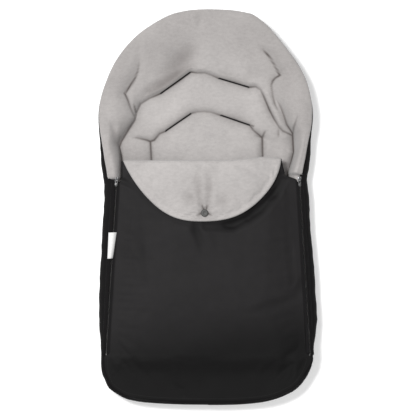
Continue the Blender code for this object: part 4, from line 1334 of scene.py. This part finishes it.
# The pull is a long eye with a flat tab
def buildPull(word, side):
    p = pullPlan
    bm = bmesh.new()
    bmesh.ops.create_circle(bm, cap_ends=True, segments=24, radius=p["width"] / 2)
    for v in bm.verts:
        if v.co.y < 0:
            v.co.y -= p["length"] - p["width"] + p["stretch"]
    bmesh.ops.translate(bm, verts=bm.verts, vec=(0, -p["width"] / 2 + p["pinInset"], -p["thick"] / 2))
    bmesh.ops.inset_region(bm, faces=bm.faces[:], thickness=p["band"], use_even_offset=True,
                           use_boundary=True)
    inner = [f for f in bm.faces if len(f.verts) > 8]
    for v in inner[0].verts:
        if v.co.y < p["holeEnd"]:
            v.co.y = p["holeEnd"] + (v.co.y - p["holeEnd"]) * p["holeFlat"]
    bmesh.ops.delete(bm, geom=inner, context="FACES_ONLY")
    raiseCopy(bm, p["thick"])
    bmesh.ops.recalc_face_normals(bm, faces=bm.faces)
    sharp = [e for e in bm.edges if e.is_manifold and e.calc_face_angle(0) > p["sharp"]]
    bmesh.ops.bevel(bm, geom=sharp, offset=p["bevel"], segments=2, profile=0.5, affect="EDGES", material=-1)
    pin = Vector(p["pin"])
    pin.x *= side
    bmesh.ops.transform(bm, matrix=Matrix.Translation(pin) @ zipTurn(side), verts=bm.verts)
    addMetal("Pull", word, bm, blackEnamel, "pull_" + word.lower())


def buildStop(word):
    low, high = (Vector(corner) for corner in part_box("zip_stop_" + word.lower()))
    middle, half = (low + high) / 2, (high - low) / 2 * stopPlan["size"]
    bm = bmesh.new()
    blockInto(bm, middle - half, middle + half, stopPlan["bevel"])
    addMetal("Stop", word, bm, blackEnamel, "base")


for word, side in sides:
    for half, *course, first, _ in zipHalves:
        buildTape(f"{half}Tape{word}", side, *course, f"{first}zip_tape_{word.lower()}")
    for half, *course, first, shift in zipHalves:
        buildTeeth(f"{half}Teeth{word}", side, *course, f"{first}zip_coil_{word.lower()}", shift)
    buildSlider(word, side)
    buildPull(word, side)
    buildStop(word)
print("zips made")


# A profile of radius and height, turned about the snap's upright axis
def turnedMesh(name, profile):
    bm = bmesh.new()
    verts = [bm.verts.new((r, 0, h)) for r, h in profile]
    edges = [bm.edges.new(pair) for pair in zip(verts[:-1], verts[1:])]
    bmesh.ops.spin(bm, geom=verts + edges, cent=(0, 0, 0), axis=(0, 0, 1), angle=2 * math.pi,
                   steps=36, use_merge=True, use_duplicate=False)
    bmesh.ops.translate(bm, verts=bm.verts, vec=(*snapSpot, 0))
    return tidyMesh(meshFrom(bm, name))


# Snap fastener: body and profile of each part. A profile's points say where the height is measured from,
# 1 for the part's top and 0 for its bottom, then radius and height in tenths of a millimetre
snapPlan = {
    "cap": ("flap", [(1, 0, -7), (1, 30, -6), (1, 37, -1), (1, 50, 0), (1, 64, -5), (1, 73, -13),
                     (1, 75, -20), (1, 71, -26), (1, 22, -32), (0, 21, 2), (0, 0, 2)]),
    "socket": ("flap", [(1, 0, 0), (1, 44, 0), (1, 50, -5), (0, 48, 3), (0, 43, 0), (0, 30, 0), (0, 27, 4),
                        (1, 26, -5), (1, 0, -5)]),
    "stud": ("apron", [(1, 0, 0), (1, 14, 0), (1, 20, -4), (1, 18, -10), (0, 17, 8), (0, 46, 7), (0, 50, 3),
                       (0, 46, 0), (0, 0, 0)]),
}

for part, (body, points) in snapPlan.items():
    ends = [corner[2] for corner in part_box("snap_" + part)]
    mesh = turnedMesh("snap" + part.title(), [(r * 1e-4, ends[end] + h * 1e-4) for end, r, h in points])
    addPiece("snap" + part.title(), mesh, [snapPlastic], body, ["snap_" + part])
print("snap made")


# Label: a folded ribbon that stands up a little beside the zip. Its edges give x at the top and the bottom
labelPlan = {
    "topY": -0.0500, "bottomY": -0.1026, "inner": (-0.1836, -0.1915), "outer": (-0.2000, -0.2022),
    "rise": 0.0062, "baseZ": 0.0622, "wave": (0.0006, 5.0, 3.0), "droop": 0.0010, "slant": 0.0004,
    "thick": 0.0006, "columns": 10, "rows": 16,
}


def labelPlace(column, row):
    p = labelPlan
    v, u = row / p["rows"], column / p["columns"]
    y = mix(p["topY"], p["bottomY"], v)
    inner, outer = mix(*p["inner"], v), mix(*p["outer"], v)
    z = p["baseZ"] + p["rise"] * np.sin(np.clip(u * 2.0, 0, 1) * math.pi / 2)
    wave, down, across = p["wave"]
    z = z + wave * np.sin(v * down + u * across) - p["droop"] * u * u
    return stack(mix(inner, outer, u), y - p["slant"] * u, z)


def buildLabel():
    mesh = faceTowards(gridMesh("sideLabel", labelPlan["columns"], labelPlan["rows"], labelPlace))
    piece = addPiece("sideLabel", mesh, [labelCloth], "apron", ["side_label"])
    thicken(piece, labelPlan["thick"], 0)


buildLabel()
print("label made")


# Cloth binding inside a harness slot, whose top edge follows the fleece, and a tack at each end
def buildBinding(node, ends):
    s = slotPlan
    middle, along, across, half = slotAxes(*ends)
    reach = s["wide"] / 2 + s["over"]

    def place(column, row):
        turn = column / s["columns"] * 2 * math.pi
        u = np.clip(np.cos(turn) * s["flat"][0], -1, 1) * (half - reach) + np.cos(turn) * reach * s["taper"]
        v = np.clip(np.sin(turn) * s["flat"][1], -1, 1) * reach
        x = middle.x + along.x * u + across.x * v
        y = middle.y + along.y * u + across.y * v
        return stack(x, y, mix(s["floor"], panelHeight(x, y) + s["rise"], row / s["rows"]))

    name = "binding_" + node
    mesh = gridMesh(name, s["columns"], s["rows"], place)
    piece = addPiece(name, mesh, [shell], "base", [node + "_binding"])
    thicken(piece, s["wall"], s["inward"])
    tacks = bmesh.new()
    for x, y in ends:
        tack = ballMesh(10, 6, s["tackSize"], lying=False)
        bmesh.ops.rotate(tack, verts=tack.verts, matrix=Matrix.Rotation(math.atan2(along.y, along.x), 3, "Z"))
        height = float(panelHeight(np.array([x]), np.array([y]))[0])
        bmesh.ops.translate(tack, verts=tack.verts, vec=(x, y, height + s["tackRise"]))
        joinInto(tacks, tack)
    addPiece("tacks_" + node, meshFrom(tacks, "tacks_" + node), [threadCloth], "base")


for node, ends in slotPlan["lines"].items():
    buildBinding(node, ends)
print("slots made")


# Sewing: stitches and piping, by where they run. Shares are shellPoint's t
stitchPlan = {"pitch": 0.0042, "size": (0.0030, 0.0008, 0.0007)}
sewingPlan = {
    "apronFrom": 0.040, "apronTo": -0.276, "apronPoints": 150, "apronInset": 0.0050, "coverBelow": -0.300,
    "coverInset": 0.0065, "lipShare": 0.79, "lipTop": 0.050, "lipBottom": -0.284, "lipLift": 0.0002,
    "rimShare": 0.95, "rimAbove": 0.068, "rimRadius": 0.0010, "lowerRadius": 0.0011,
}


# Height of a piece's surface straight below each point
def surfaceAt(piece, x, y):
    bpy.context.view_layer.update()
    tree = BVHTree.FromObject(piece, bpy.context.evaluated_depsgraph_get())
    hits = [tree.ray_cast(Vector((*spot, 1.0)), Vector((0, 0, -1.0)))[0] for spot in zip(x, y)]
    return np.array([tuple(hit) for hit in hits if hit is not None])


# A row of short stitches along a line of points
def stitchRow(name, path, body):
    s = stitchPlan
    run = np.concatenate([[0], np.cumsum(np.linalg.norm(np.diff(path, axis=0), axis=1))])
    stitch = meshFrom(ballMesh(6, 4, s["size"]), "stitch")
    bm = bmesh.new()
    for k in range(int(run[-1] / s["pitch"])):
        at = (k + 0.5) * s["pitch"]
        reach = s["size"][0] / 2
        a, b = (Vector([np.interp(at + d, run, path[:, i]) for i in range(3)]) for d in (-reach, reach))
        turn = Vector((1, 0, 0)).rotation_difference(b - a).to_matrix().to_4x4()
        copy = stitch.copy()
        copy.transform(Matrix.Translation((a + b) / 2) @ turn)
        bm.from_mesh(copy)
        bpy.data.meshes.remove(copy)
    bpy.data.meshes.remove(stitch)
    addPiece(name, meshFrom(bm, name), [threadCloth], body)


# A thin round cord along a line of points
def pipingAlong(name, path, radius):
    curve = bpy.data.curves.new(name, "CURVE")
    curve.dimensions = "3D"
    curve.bevel_depth = radius
    curve.bevel_resolution = 2
    curve.use_fill_caps = True
    line = curve.splines.new("POLY")
    line.points.add(len(path) - 1)
    line.points.foreach_set("co", np.column_stack([path, np.ones(len(path))]).ravel())
    draft = linkPiece(name, curve)
    mesh = seenMesh(draft)
    bpy.data.objects.remove(draft, do_unlink=True)
    bpy.data.curves.remove(curve)
    mesh.name = name
    mesh.materials.clear()
    addPiece(name, tidyMesh(mesh), [shellDark], "base")


def buildSewing():
    p = sewingPlan
    y = np.linspace(p["apronFrom"], p["apronTo"], p["apronPoints"])
    for word, side in sides:

        def shellLine(rows, share, lift):
            return shellPoint(np.nonzero(rows)[0], share, side) + np.array([0, 0, lift])

        x = side * (apronSide(y, side) - p["apronInset"])
        stitchRow("apronStitches" + word, surfaceAt(apronPiece, x, y), "apron")
        onLip = (edgeY < p["lipTop"]) & (edgeY > p["lipBottom"])
        stitchRow("lipStitches" + word, shellLine(onLip, p["lipShare"], p["lipLift"]), "base")
        # the seams between the fleece rim and the shell, and round the bag's underside
        onRim = shellLine(edgeY > p["rimAbove"], p["rimShare"], p["lipLift"])
        pipingAlong("rimPiping" + word, onRim, p["rimRadius"])
        pipingAlong("lowerPiping" + word, shellLine(edgeY < np.inf, 0.0, p["lowerRadius"]), p["lowerRadius"])
    rows = np.nonzero(edgeY < p["coverBelow"])[0]
    for word, side in sides:
        foot = insideEdge(rows, apronPlan["footInset"] + p["coverInset"], side)
        stitchRow("coverStitches" + word, surfaceAt(apronPiece, *foot), "base")


buildSewing()
print("sewing made")


# Floor, light and camera
view = {"lens": 200.0, "sensor": 36.0, "frameWidth": 0.8404, "rimHeight": 0.046, "aimX": 0.0, "aimY": -0.0010}
light = {
    "keyPower": 112.0, "keySize": 0.6, "keyPlace": (-0.84, 0.66, 3.04),
    "fillPower": 22.0, "fillSize": 2.0, "fillPlace": (0.6, -0.6, 3.0), "sky": 0.34,
    "floorSize": 6.0, "floorGlow": 0.36, "floorGrey": 0.78, "floorZ": -0.0004,
}


def buildFloor():
    bm = bmesh.new()
    bmesh.ops.create_grid(bm, x_segments=1, y_segments=1, size=light["floorSize"])
    bmesh.ops.translate(bm, verts=bm.verts, vec=(0, 0, light["floorZ"]))
    material = newMaterial("paleFloor", {"colour": (light["floorGrey"],) * 3, "rough": 0.9, "gloss": 0.1})
    shaderInputs(material)["Emission Color"].default_value = (1, 1, 1, 1)
    shaderInputs(material)["Emission Strength"].default_value = light["floorGlow"]
    linkPiece("paleFloor", meshFrom(bm, "paleFloor"), [material])


def addLight(name):
    lamp = bpy.data.lights.new(name + "Light", "AREA")
    lamp.energy = light[name + "Power"]
    lamp.size = light[name + "Size"]
    piece = linkPiece(name + "Light", lamp)
    piece.location = light[name + "Place"]
    piece.rotation_euler = (-piece.location).to_track_quat("-Z", "Y").to_euler()


def buildView():
    lens = bpy.data.cameras.new("photoCamera")
    lens.lens = view["lens"]
    lens.sensor_width = view["sensor"]
    lens.clip_end = 50
    distance = view["frameWidth"] * view["lens"] / view["sensor"] + view["rimHeight"]
    scene.camera = linkPiece("photoCamera", lens)
    scene.camera.location = (view["aimX"], view["aimY"], distance)
    world = bpy.data.worlds.new("softSky")
    world.use_nodes = True
    sky = world.node_tree.nodes["Background"].inputs
    sky["Color"].default_value = (1, 1, 1, 1)
    sky["Strength"].default_value = light["sky"]
    scene.world = world
    scene.view_settings.view_transform = "Standard"


buildFloor()
addLight("key")
addLight("fill")
buildView()
print("stage made")
